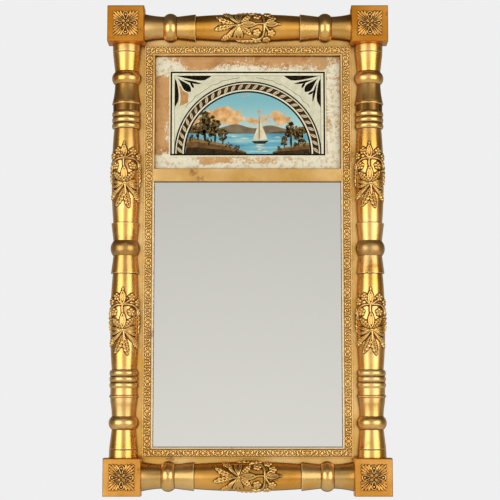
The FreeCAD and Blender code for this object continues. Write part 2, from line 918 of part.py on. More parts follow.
def ring_bend(name, radius, x, z, first_degrees, degrees):
    """A bend of the ring's wire in the plane of the ring."""
    bend = doc.addObject("Part::Torus", name)
    flat = FreeCAD.Rotation(FreeCAD.Vector(1, 0, 0), QUARTER_TURN)
    start = FreeCAD.Rotation(FreeCAD.Vector(0, 0, 1), first_degrees)
    bend.Placement = FreeCAD.Placement(FreeCAD.Vector(), flat * start)
    bind(bend, "Radius1", radius)
    bind(bend, "Radius2", size.hanger_wire_radius)
    bend.Angle3 = degrees
    put(bend, x, hanger_axis_y, z)
    return bend


def make_hanger_ring(side):
    middle = hanger_x * SIDES[side]
    name = f"hanger_ring_{side}"
    half = size.hanger_ring_half_width
    corner = size.hanger_ring_corner
    top = size.hanger_height
    bend_z = top - corner
    low_z = bend_z - size.hanger_ring_side
    pieces = [
        cross_rod(f"{name}_bar", size.hanger_wire_radius, (middle - half + corner, middle + half - corner),
                  hanger_axis_y, top),
        ring_bend(f"{name}_corner_right", corner, middle + half - corner, bend_z, 0, QUARTER_TURN),
        ring_bend(f"{name}_corner_left", corner, middle - half + corner, bend_z, QUARTER_TURN, QUARTER_TURN),
        ring_bend(f"{name}_bow", half, middle, low_z, HALF_TURN, HALF_TURN),
    ]
    for hand, sign in SIDES.items():
        leg = doc.addObject("Part::Cylinder", f"{name}_leg_{hand}")
        bind(leg, "Radius", size.hanger_wire_radius)
        bind(leg, "Height", size.hanger_ring_side)
        put(leg, middle + half * sign, hanger_axis_y, low_z)
        pieces.append(leg)
    node(fused(name, pieces), name)


# The whole object

def make_object():
    baluster_screws = make_baluster_screws()
    block_screws, pegs = make_corner_fixings()
    nails = make_nails()
    hanger_screws = make_hanger_screws()
    corner_holes = every(block_screws) + every(pegs) + every(nails)
    for side in SIDES:
        make_stile(side, baluster_screws[side] + corner_holes + hanger_screws[side])
        make_hanger_plate(side, hanger_screws[side])
        make_hanger_ring(side)
    for level in LEVELS:
        make_rail(level, baluster_screws[level] + corner_holes)
    make_balusters(baluster_screws)
    make_leaves()
    make_corners(block_screws)
    make_mouldings()
    make_divider()
    make_panes()
    make_glazing_blocks()
    make_backboards(nails)
    node(group("frame_pegs", every(pegs)), "frame_pegs")
    node(group("baluster_screws", every(baluster_screws)), "baluster_screws")
    node(group("block_screws", every(block_screws)), "block_screws")
    node(group("backboard_nails", every(nails)), "backboard_nails")
    node(group("hanger_screws", every(hanger_screws)), "hanger_screws")


def check_and_write():
    doc.recompute()
    failed = [thing.Name for thing in doc.Objects if {"Invalid", "Error"} & set(thing.State)]
    if failed:
        raise RuntimeError(f"objects that failed: {failed}")
    for name, thing in nodes.items():
        if thing.Shape.isNull() or not thing.Shape.isValid() or not thing.Shape.Solids:
            raise RuntimeError(f"{name} has no valid solid")
    os.makedirs("parts", exist_ok=True)
    for name, thing in nodes.items():
        thing.Shape.exportStep(f"parts/{name}.step")
        print(name, len(thing.Shape.Solids), round(thing.Shape.Volume))


make_object()
check_and_write()
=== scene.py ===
import json
import math
from functools import reduce

import bpy
import numpy as np
from mathutils import Matrix, Vector

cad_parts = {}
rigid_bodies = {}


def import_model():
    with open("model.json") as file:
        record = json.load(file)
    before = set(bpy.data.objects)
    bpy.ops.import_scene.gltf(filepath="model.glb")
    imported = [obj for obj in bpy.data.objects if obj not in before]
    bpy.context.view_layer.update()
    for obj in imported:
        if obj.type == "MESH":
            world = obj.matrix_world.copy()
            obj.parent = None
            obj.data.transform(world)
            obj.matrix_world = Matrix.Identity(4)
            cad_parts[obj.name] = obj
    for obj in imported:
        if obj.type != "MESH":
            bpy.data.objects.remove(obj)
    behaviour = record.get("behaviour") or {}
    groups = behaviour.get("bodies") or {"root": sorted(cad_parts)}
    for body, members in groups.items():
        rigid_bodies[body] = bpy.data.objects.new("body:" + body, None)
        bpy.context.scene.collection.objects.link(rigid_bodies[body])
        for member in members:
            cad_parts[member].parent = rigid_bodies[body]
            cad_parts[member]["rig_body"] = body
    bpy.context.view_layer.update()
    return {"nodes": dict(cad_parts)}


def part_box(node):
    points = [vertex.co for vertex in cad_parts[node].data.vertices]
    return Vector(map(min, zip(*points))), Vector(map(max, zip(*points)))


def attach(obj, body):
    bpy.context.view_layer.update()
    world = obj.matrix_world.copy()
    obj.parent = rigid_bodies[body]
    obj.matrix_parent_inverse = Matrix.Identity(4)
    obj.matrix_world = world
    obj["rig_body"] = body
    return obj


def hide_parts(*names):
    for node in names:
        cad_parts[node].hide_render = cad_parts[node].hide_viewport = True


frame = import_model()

NODES = frame["nodes"]
MILLIMETRE = 0.001
HAIR = 0.001 * MILLIMETRE
SIDES = ("left", "right")
ENDS = ("top", "bottom")
EDGES = ("top", "right", "bottom", "left")
SIGHT_HALF_WIDTH = -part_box("moulding_left")[1][0]

# The photograph's view: the eye's place, its tilt, and the lens in the image's own pixels.
IMAGE_PIXELS = 500
FOCAL_PIXELS = 1450
EYE = (0.0043, -2.7343, -0.2921)
EYE_TILT = math.radians(6.118)


def tint(red, green, blue):
    """A colour as it is seen, in steps of 255, as a node's linear colour."""
    seen = np.array((red, green, blue)) / 255
    linear = np.where(seen <= 0.04045, seen / 12.92, ((seen + 0.055) / 1.055) ** 2.4)
    return (*linear.tolist(), 1.0)


def show(name, data):
    """An object for a mesh, lamp or lens, put into the scene."""
    shown = bpy.data.objects.new(name, data)
    bpy.context.scene.collection.objects.link(shown)
    return shown


# Finishes

class Nodes:
    """A node tree and short ways to add the nodes that the finishes and the studio share."""

    def __init__(self, tree):
        self.tree = tree

    def add(self, kind, inputs=None, **settings):
        made = self.tree.nodes.new(kind)
        for name, value in settings.items():
            setattr(made, name, value)
        for name, value in (inputs or {}).items():
            self.feed(made.inputs[name], value)
        return made

    def feed(self, socket, value):
        if isinstance(value, bpy.types.NodeSocket):
            self.tree.links.new(value, socket)
        else:
            socket.default_value = value

    def ramp(self, share, *stops):
        made = self.add("ShaderNodeValToRGB", {"Fac": share})
        elements = made.color_ramp.elements
        while len(elements) < len(stops):
            elements.new(1.0)
        for element, (position, colour) in zip(elements, stops):
            element.position = position
            element.color = colour if hasattr(colour, "__len__") else (colour, colour, colour, 1.0)
        return made.outputs["Color"]

    def blend(self, share, first, second, how="MIX"):
        made = self.add("ShaderNodeMix", data_type="RGBA", blend_type=how)
        for index, value in ((0, share), (6, first), (7, second)):
            self.feed(made.inputs[index], value)
        return made.outputs[2]

    def math(self, how, *values):
        made = self.add("ShaderNodeMath", operation=how)
        for socket, value in zip(made.inputs, values):
            self.feed(socket, value)
        return made.outputs["Value"]

    def fold(self, how, *values):
        """The values joined two by two, from the first to the last."""
        return reduce(lambda first, second: self.math(how, first, second), values)

    def plus(self, *values):
        return self.fold("ADD", *values)

    def times(self, *values):
        return self.fold("MULTIPLY", *values)

    def most(self, *values):
        return self.fold("MAXIMUM", *values)

    def less(self, first, second):
        return self.math("SUBTRACT", first, second)

    def span(self, value, low, high, first=0.0, last=1.0):
        """The value's place between low and high, smoothed, from first to last."""
        inputs = {"Value": value, "From Min": low, "From Max": high, "To Min": first, "To Max": last}
        return self.add("ShaderNodeMapRange", inputs, interpolation_type="SMOOTHSTEP").outputs["Result"]

    def parts(self, vector):
        return self.add("ShaderNodeSeparateXYZ", {"Vector": vector}).outputs


class Finish(Nodes):
    """A material, with the place on its piece, noise there, and shares that the piece's points carry."""

    def __init__(self, name):
        self.material = bpy.data.materials.new(name)
        self.material.use_nodes = True
        super().__init__(self.material.node_tree)
        self.surface = self.tree.nodes["Principled BSDF"]
        self.output = self.tree.nodes["Material Output"]
        self.place = self.add("ShaderNodeTexCoord").outputs["Object"]

    def set(self, **values):
        """Sets or links the surface's sockets, named as in the shader with _ for a space."""
        for name, value in values.items():
            self.feed(self.surface.inputs[name.replace("_", " ")], value)

    def noise(self, scale, detail=5.0, roughness=0.55, stretch=None):
        place = self.place
        if stretch:
            place = self.add("ShaderNodeMapping", {"Vector": place, "Scale": stretch}).outputs["Vector"]
        inputs = {"Vector": place, "Scale": scale, "Detail": detail, "Roughness": roughness}
        return self.add("ShaderNodeTexNoise", inputs).outputs["Fac"]

    def cells(self, scale):
        """The distance from the edges of rough cells."""
        inputs = {"Vector": self.place, "Scale": scale}
        return self.add("ShaderNodeTexVoronoi", inputs, feature="DISTANCE_TO_EDGE").outputs["Distance"]

    def mask(self, name):
        """A share that the piece's own points carry, or 0 on a piece without it."""
        return self.add("ShaderNodeAttribute", attribute_name=name).outputs["Fac"]

    def bump(self, height, depth, strength=0.5, arris=0.0):
        """A bumped surface, with its sharp edges softened to the arris's radius."""
        inputs = {"Height": height, "Distance": depth, "Strength": strength}
        if arris:
            inputs["Normal"] = self.add("ShaderNodeBevel", {"Radius": arris}, samples=6).outputs["Normal"]
        self.set(Normal=self.add("ShaderNodeBump", inputs).outputs["Normal"])


LEAF_BRIGHT = tint(255, 210, 138)
LEAF_DEEP = tint(240, 182, 88)
# Pale gold for a painted highlight on ridges, partly standing for leaf worn thin there
PALE_HIGHLIGHT_LEAF = tint(255, 224, 156)
LEAF_WORN = tint(255, 240, 208)
MATTE_BRIGHT = tint(248, 184, 96)
MATTE_DEEP = tint(226, 156, 62)
# A darker copy of the block gilding, for the top corner blocks: painted shade
SHADED_BLOCK_BRIGHT = tint(230, 158, 60)
SHADED_BLOCK_DEEP = tint(206, 128, 32)
TONED_BRIGHT = tint(255, 188, 86)
TONED_DEEP = tint(236, 158, 44)
CAST_BRIGHT = tint(252, 206, 120)
CAST_DEEP = tint(232, 172, 76)
BRONZE = tint(98, 66, 26)
BRONZE_PALE = tint(168, 122, 58)
CLAY = tint(140, 76, 36)
# Dark brown laid in hollows, grooves and corners: grime, and painted shade there too
GRIME_AND_SHADE = tint(92, 50, 8)
GESSO = tint(236, 226, 206)
ARRIS = 1.0 * MILLIMETRE
# How far the occlusion reaches that paints shade into corners and hollows
OCCLUSION_SHADE_REACH = 8 * MILLIMETRE

# How deep the fine unevenness of each surface is
LEAF_GRAIN = 0.3 * MILLIMETRE
WOOD_GRAIN = 0.5 * MILLIMETRE
METAL_GRAIN = 0.1 * MILLIMETRE
SILVER_WAVE = 0.4 * MILLIMETRE
GLASS_WAVE = 1.0 * MILLIMETRE
BRUSH_MARK = 0.05 * MILLIMETRE

# The moulding's inner lip, worn pale this far from its edge
LIP = (1.6 * MILLIMETRE, 3.6 * MILLIMETRE)
LIP_WAVER = 1.0 * MILLIMETRE
LIP_WORN_SHARE = 0.9


def worn_lip(made):
    """Shares of wear, where the leaf is thin and pale, on the lip round the looking glass."""
    parts = made.parts(made.place)
    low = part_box("moulding_bottom")[1][2]
    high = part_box("divider_bar")[0][2]
    beside = made.less(made.math("ABSOLUTE", parts["X"]), SIGHT_HALF_WIDTH)
    below = made.less(low, parts["Z"])
    past = made.plus(made.most(beside, below), made.times(made.noise(260), LIP_WAVER))
    lower = made.span(parts["Z"], high, high - LIP[1])
    return made.times(made.span(past, LIP[1], LIP[0], 0.0, LIP_WORN_SHARE), lower)


def gilding(made, roughness, soiling_and_shade, bright=LEAF_BRIGHT, deep=LEAF_DEEP, arris=0.0, lip=False):
    """Old leaf gilding: clouded gold, grime and painted shade in the hollows and corners, a painted highlight
    on the ridges, red clay and white ground where it is rubbed.
    """
    cloud = made.noise(12, detail=7, roughness=0.6)
    fine = made.noise(170, detail=7, roughness=0.65)
    grain = made.noise(900, detail=3)
    ridge = made.mask("ridge")
    dull = made.mask("dull")
    gold = made.ramp(cloud, (0.36, deep), (0.62, bright))
    toned = made.ramp(cloud, (0.36, TONED_DEEP), (0.62, TONED_BRIGHT))
    gold = made.blend(made.mask("toned"), gold, toned)
    # Painted highlight: the ridge share lightens the gold towards pale
    gold = made.blend(made.times(ridge, 0.85), gold, PALE_HIGHLIGHT_LEAF)
    streak = made.noise(90, detail=4, stretch=(1.0, 1.0, 0.06))
    gold = made.blend(dull, gold, made.ramp(streak, (0.42, BRONZE), (0.66, BRONZE_PALE)))
    # Painted shade: occlusion and the hollow share darken the colour in corners and recesses towards the dark
    # brown, which also stands for grime
    occlusion = made.add("ShaderNodeAmbientOcclusion", {"Distance": OCCLUSION_SHADE_REACH}, samples=6)
    closed = made.less(1.0, occlusion.outputs["AO"])
    hollow = made.most(made.mask("hollow"), made.times(closed, 1.2))
    dirt_and_shade = made.span(made.plus(hollow, made.times(fine, 0.35)), 0.62 - soiling_and_shade, 1.1 - soiling_and_shade)
    exposed = made.times(ridge, fine)
    rubbed = made.span(exposed, 0.5, 0.62)
    patch = made.span(made.noise(20, detail=8, roughness=0.65), 0.6, 0.68, 0.0, 0.55)
    chance = made.most(made.span(made.noise(17, detail=2), 0.56, 0.6), made.mask("worn"))
    chipped = made.span(made.times(exposed, chance), 0.5, 0.56)
    speck = made.span(made.noise(420, detail=4), 0.7, 0.78)
    if lip:
        gold = made.blend(worn_lip(made), gold, LEAF_WORN)
    gold = made.blend(dirt_and_shade, gold, GRIME_AND_SHADE)
    gold = made.blend(made.most(rubbed, speck, patch), gold, CLAY)
    gold = made.blend(chipped, gold, GESSO)
    bare = made.most(rubbed, chipped, made.times(dirt_and_shade, 0.4))
    thin = made.most(dull, ridge)
    made.set(
        Base_Color=gold,
        Metallic=made.span(made.plus(bare, made.times(thin, 0.3)), 0, 1, 0.94, 0.1),
        Roughness=made.span(made.plus(cloud, made.times(dull, 0.15)), 0.3, 0.9, roughness, roughness + 0.2),
        Specular_IOR_Level=0.2,
    )
    made.bump(made.plus(fine, made.times(grain, 0.3)), LEAF_GRAIN, 0.06, arris)


def gilded(name, roughness, soiling_and_shade, *colours, arris=0.0, lip=False):
    made = Finish(name)
    gilding(made, roughness, soiling_and_shade, *colours, arris=arris, lip=lip)
    return made.material


def wood_colour(made, pale, dark, along):
    """Long grain on the axis given, with darker growth lines and stains."""
    squeeze = [14.0, 14.0, 14.0]
    squeeze[along] = 0.9
    grain = made.noise(9, detail=9, roughness=0.68, stretch=tuple(squeeze))
    stain = made.noise(4, detail=4)
    colour = made.ramp(grain, (0.34, dark), (0.5, pale), (0.66, dark))
    return made.blend(made.span(stain, 0.4, 0.75, 0.0, 0.5), colour, tint(70, 48, 28)), grain


def pine(name, along, pale=tint(176, 134, 86), dark=tint(128, 88, 50)):
    made = Finish(name)
    colour, grain = wood_colour(made, pale, dark, along)
    made.set(Base_Color=colour, Roughness=made.span(grain, 0.3, 0.7, 0.62, 0.85))
    made.bump(grain, WOOD_GRAIN, 0.4)
    return made.material


def frame_board(name, along):
    """A back-frame board: leaf on its face, yellow ochre on its edges, and bare wood behind."""
    made = Finish(name)
    gilding(made, 0.26, 0.0)
    leaf = made.surface.inputs["Base Color"].links[0].from_socket
    shine = made.surface.inputs["Metallic"].links[0].from_socket
    facing = made.parts(made.add("ShaderNodeNewGeometry").outputs["Normal"])["Y"]
    behind = made.span(facing, 0.4, 0.6)
    front = made.span(facing, -0.6, -0.8)
    wood, _ = wood_colour(made, tint(170, 126, 78), tint(118, 80, 46), along)
    ochre = made.ramp(made.noise(30, detail=6), (0.35, tint(150, 106, 44)), (0.65, tint(196, 150, 70)))
    edge = made.blend(behind, ochre, wood)
    made.set(Base_Color=made.blend(front, edge, leaf), Metallic=made.times(shine, front))
    return made.material


def metal(name, bright, dark, smoothness, shine=1.0):
    made = Finish(name)
    cloud = made.noise(90, detail=6)
    fine = made.noise(700, detail=4)
    made.set(
        Base_Color=made.ramp(cloud, (0.38, dark), (0.62, bright)),
        Metallic=shine,
        Roughness=made.span(fine, 0.3, 0.7, smoothness, smoothness + 0.25),
    )
    made.bump(fine, METAL_GRAIN, 0.3)
    return made.material


SHADE_LINE = (0.8 * MILLIMETRE, 1.6 * MILLIMETRE)


def frame_shade_line(made, over, under):
    """Shares of a painted shade line where a pane meets the frame, between the named bars above and below it.
    """
    parts = made.parts(made.place)
    beside = made.less(SIGHT_HALF_WIDTH, made.math("ABSOLUTE", parts["X"]))
    below = made.less(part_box(over)[0][2], parts["Z"])
    above = made.less(parts["Z"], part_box(under)[1][2])
    edge = made.fold("MINIMUM", beside, below, above)
    return made.span(edge, SHADE_LINE[1], SHADE_LINE[0], 0.0, 0.9)


def looking_glass(name):
    """Silvered glass, a little grey, with clouded spots and a painted shade line where it meets the frame."""
    made = Finish(name)
    line = frame_shade_line(made, "divider_bar", "moulding_bottom")
    spots = made.span(made.noise(45, detail=6, roughness=0.7), 0.68, 0.8, 0.0, 0.6)
    silver = made.blend(spots, tint(242, 240, 231), tint(206, 202, 190))
    made.set(
        Base_Color=made.blend(line, silver, tint(58, 42, 20)),
        Metallic=1.0,
        Roughness=made.span(spots, 0, 1, 0.015, 0.12),
    )
    made.bump(made.noise(2.2, detail=1), SILVER_WAVE, 0.04)
    return made.material


def clear_glass(name):
    """Thin old glass: it lets the paint show, and mirrors a little of the room."""
    made = Finish(name)
    ripple = made.noise(6, detail=2)
    normal = made.add("ShaderNodeBump", {"Height": ripple, "Distance": GLASS_WAVE, "Strength": 0.05})
    clear = made.add("ShaderNodeBsdfTransparent", {"Color": tint(254, 253, 249)})
    gloss = made.add("ShaderNodeBsdfGlossy", {"Roughness": 0.02, "Normal": normal.outputs["Normal"]})
    slope = made.add("ShaderNodeLayerWeight", {"Blend": 0.5}).outputs["Facing"]
    mirrored = made.most(made.math("POWER", slope, 5.0), 0.004)
    both = made.add("ShaderNodeMixShader", {"Fac": mirrored})
    made.tree.links.new(clear.outputs["BSDF"], both.inputs[1])
    made.tree.links.new(gloss.outputs["BSDF"], both.inputs[2])
    made.tree.links.new(both.outputs["Shader"], made.output.inputs["Surface"])
    made.tree.nodes.remove(made.surface)
    return made.material


# Carving: heights over a flat sheet, raised by leaves, stems and beads

def bend(points, count=24):
    """Points along the smooth curve that a few control points pull."""
    points = np.array(points, float)
    order = len(points) - 1
    share = np.linspace(0, 1, count + 1)[:, None]
    weights = [math.comb(order, k) * share ** k * (1 - share) ** (order - k) for k in range(order + 1)]
    return sum(weight * point for weight, point in zip(weights, points))


def smoothing(half):
    """The weights of a soft average over a point and its neighbours, as many as half on either side."""
    weights = np.hanning(2 * half + 3)[1:-1]
    return weights / weights.sum()


def swelling(share, belly):
    """0 at both ends of a stroke, and 1 at the belly's share of its length."""
    return np.sin(math.pi * share ** (math.log(0.5) / math.log(belly)))


def dome(share):
    """A round section: 1 at the middle, 0 at the rim, and falling steeply beyond it."""
    rest = 1 - np.square(share)
    return np.sign(rest) * np.sqrt(np.abs(rest))


class Carving:
    """Heights over a sheet of points, across by along, with shapes that rise from a base height."""

    # How far a shape's fall is followed, in shares of its radius
    FALL_SHARE = 1.4
    # A lobed leaf's notches and ribs, in shares of its width and height, and the width of its vein
    NOTCH_SHARE = 0.26
    RIB_SHARE = 0.24
    RIB_LEAN_SHARE = 0.6
    VEIN_WIDTH_SHARE = 0.09
    # A flower's petals and heart, in shares of its radius, and the petals' height
    PETAL_REACH_SHARE = 0.6
    PETAL_SHARE = 0.44
    PETAL_HEIGHT_SHARE = 0.85
    HEART_SHARE = 0.34

    def __init__(self, width, length, step, ground, base=0.0):
        across = np.linspace(-width / 2, width / 2, round(width / step) + 1)
        along = np.linspace(-length / 2, length / 2, round(length / step) + 1)
        self.across, self.along = np.meshgrid(across, along)
        self.step = step
        self.ground = ground
        self.base = base
        self.height = np.full(self.across.shape, ground)

    def area(self, spine, reach):
        low = spine.min(0) - reach
        high = spine.max(0) + reach
        rows = (self.along[:, 0] >= low[1]) & (self.along[:, 0] <= high[1])
        columns = (self.across[0] >= low[0]) & (self.across[0] <= high[0])
        return np.ix_(rows, columns)

    def measure(self, spine, area):
        """Each point's distance from the spine, and its share of the way along it."""
        across, along = self.across[area], self.along[area]
        nearest = np.full(across.shape, np.inf)
        share = np.zeros(across.shape)
        count = len(spine) - 1
        for index in range(count):
            start = spine[index]
            run = spine[index + 1] - start
            reach = (across - start[0]) * run[0] + (along - start[1]) * run[1]
            part = np.clip(reach / max(run @ run, HAIR ** 2), 0, 1)
            gap = np.hypot(across - start[0] - part * run[0], along - start[1] - part * run[1])
            closer = gap < nearest
            nearest = np.where(closer, gap, nearest)
            share = np.where(closer, (index + part) / count, share)
        return nearest, share

    def lift(self, area, height):
        self.height[area] = np.maximum(self.height[area], self.base + height)

    def ridge(self, spine, radius, height, taper=0.0):
        area = self.area(spine, self.FALL_SHARE * radius)
        gap, share = self.measure(spine, area)
        self.lift(area, height * dome(gap / (radius * (1 - taper * share))))

    def stem(self, points, radius, height, taper=0.0):
        self.ridge(bend(points), radius, height, taper)

    def leaf(self, points, width, height, lobes=0, belly=0.5, vein=0.42):
        """A leaf along a curve, widest at the belly's share of its length, with a vein and lobed edges."""
        spine = bend(points)
        area = self.area(spine, width)
        gap, share = self.measure(spine, area)
        swell = swelling(share, belly) ** 0.75
        notch = 1 - self.NOTCH_SHARE * np.abs(np.cos(math.pi * lobes * share)) ** 3 if lobes else 1
        edge = np.maximum(width / 2 * swell * notch, HAIR)
        groove = vein * np.exp(-np.square(gap / (self.VEIN_WIDTH_SHARE * width)))
        lean = self.RIB_LEAN_SHARE * gap / edge
        ribs = self.RIB_SHARE * (1 + np.cos(2 * math.pi * (lobes * share - lean))) if lobes else 0
        body = dome(gap / edge)
        self.lift(area, height * np.where(body > 0, body * (1 - groove - ribs), body))

    def bead(self, centre, radius, height):
        centre = np.array([centre], float)
        area = self.area(centre, self.FALL_SHARE * radius)
        gap = np.hypot(self.across[area] - centre[0, 0], self.along[area] - centre[0, 1])
        self.lift(area, height * dome(gap / radius))

    def flower(self, centre, radius, height, petals=5):
        reach = radius * self.PETAL_REACH_SHARE
        for angle in np.arange(petals) * 2 * math.pi / petals + math.pi / 2:
            petal = (centre[0] + reach * math.cos(angle), centre[1] + reach * math.sin(angle))
            self.bead(petal, radius * self.PETAL_SHARE, height * self.PETAL_HEIGHT_SHARE)
        self.bead(centre, radius * self.HEART_SHARE, height)

    def blurred(self, reach):
        """The heights with detail below the reach smoothed away."""
        half = max(1, round(reach / self.step))
        weights = smoothing(half)
        padded = np.pad(self.height, half, mode="edge")
        rows = np.apply_along_axis(np.convolve, 1, padded, weights, "valid")
        return np.apply_along_axis(np.convolve, 0, rows, weights, "valid")

    def soil_and_shade(self, reach, depth):
        """Shares of grime and painted shade beside raised parts."""
        return np.clip((self.blurred(reach) - self.ground) / depth, 0, 1)

    def masks(self, reach, depth, soil_and_shade=0.0):
        """Shares of hollow (grime and painted shade) and ridge (painted highlight and wear) at each point,
        against the smoothed heights, with grime and painted shade on the low ground.
        """
        rise = (np.maximum(self.height, 0) - np.maximum(self.blurred(reach), 0)) / depth
        low = self.height < self.ground + 0.1 * depth
        return {"hollow": np.maximum(np.clip(-rise, 0, 1), low * soil_and_shade), "ridge": np.clip(rise, 0, 1)}


def mesh_piece(name, points, faces, masks, node, finish):
    """A mesh that stands for a CAD node, rides on its body and carries shares at its points."""
    mesh = bpy.data.meshes.new(name)
    mesh.from_pydata(points.tolist(), [], faces)
    mesh.shade_smooth()
    for mask, values in masks.items():
        mesh.attributes.new(mask, "FLOAT", "POINT").data.foreach_set("value", values.astype(np.float32))
    mesh.materials.append(finish)
    piece = show(name, mesh)
    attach(piece, NODES[node]["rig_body"])
    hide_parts(node)
    return piece


def grid_cells(rows, columns):
    """The corners of each cell in a grid of points, as the points' numbers row by row."""
    index = np.arange(rows * columns).reshape(rows, columns)
    return np.stack((index[:-1, :-1], index[:-1, 1:], index[1:, 1:], index[1:, :-1]), -1)


def carved_solid(carving, place, floor, kept):
    """Points and faces of a closed solid: carved above, plain at the floor height, walled between."""
    rows, columns = carving.height.shape
    top = place(carving.across, carving.along, carving.height).reshape(-1, 3)
    under = place(carving.across, carving.along, np.full(carving.height.shape, floor)).reshape(-1, 3)
    below = rows * columns
    corners = grid_cells(rows, columns)
    cells = corners[kept]
    faces = [cells, cells[:, ::-1] + below]
    framed = np.pad(kept, 1)
    neighbours = (framed[:-2, 1:-1], framed[1:-1, 2:], framed[2:, 1:-1], framed[1:-1, :-2])
    for side, neighbour in enumerate(neighbours):
        rim = corners[kept & ~neighbour]
        first, second = rim[:, side], rim[:, (side + 1) % 4]
        faces.append(np.stack((first, first + below, second + below, second), -1))
    faces = np.concatenate(faces)
    used, faces = np.unique(faces, return_inverse=True)
    points = np.concatenate((top, under))[used]
    return points, faces.reshape(-1, 4).tolist(), used % below


def around(points):
    """Cells that have a chosen point at any of their corners."""
    return points[:-1, :-1] | points[:-1, 1:] | points[1:, 1:] | points[1:, :-1]


def carved_piece(node, carving, place, floor, kept, masks, finish):
    points, faces, source = carved_solid(carving, place, floor, kept)
    shares = {name: values.ravel()[source] for name, values in masks.items()}
    return mesh_piece(node + ".carved", points, faces, shares, node, finish)


# Turned balusters

# Grime and painted shade on the turnings' sides, growing between these angles from the front towards the
# seams
SEAM_SOIL_AND_SHADE = (math.radians(44), math.radians(76))
SEAM_SOIL_AND_SHADE_SHARE = 0.9


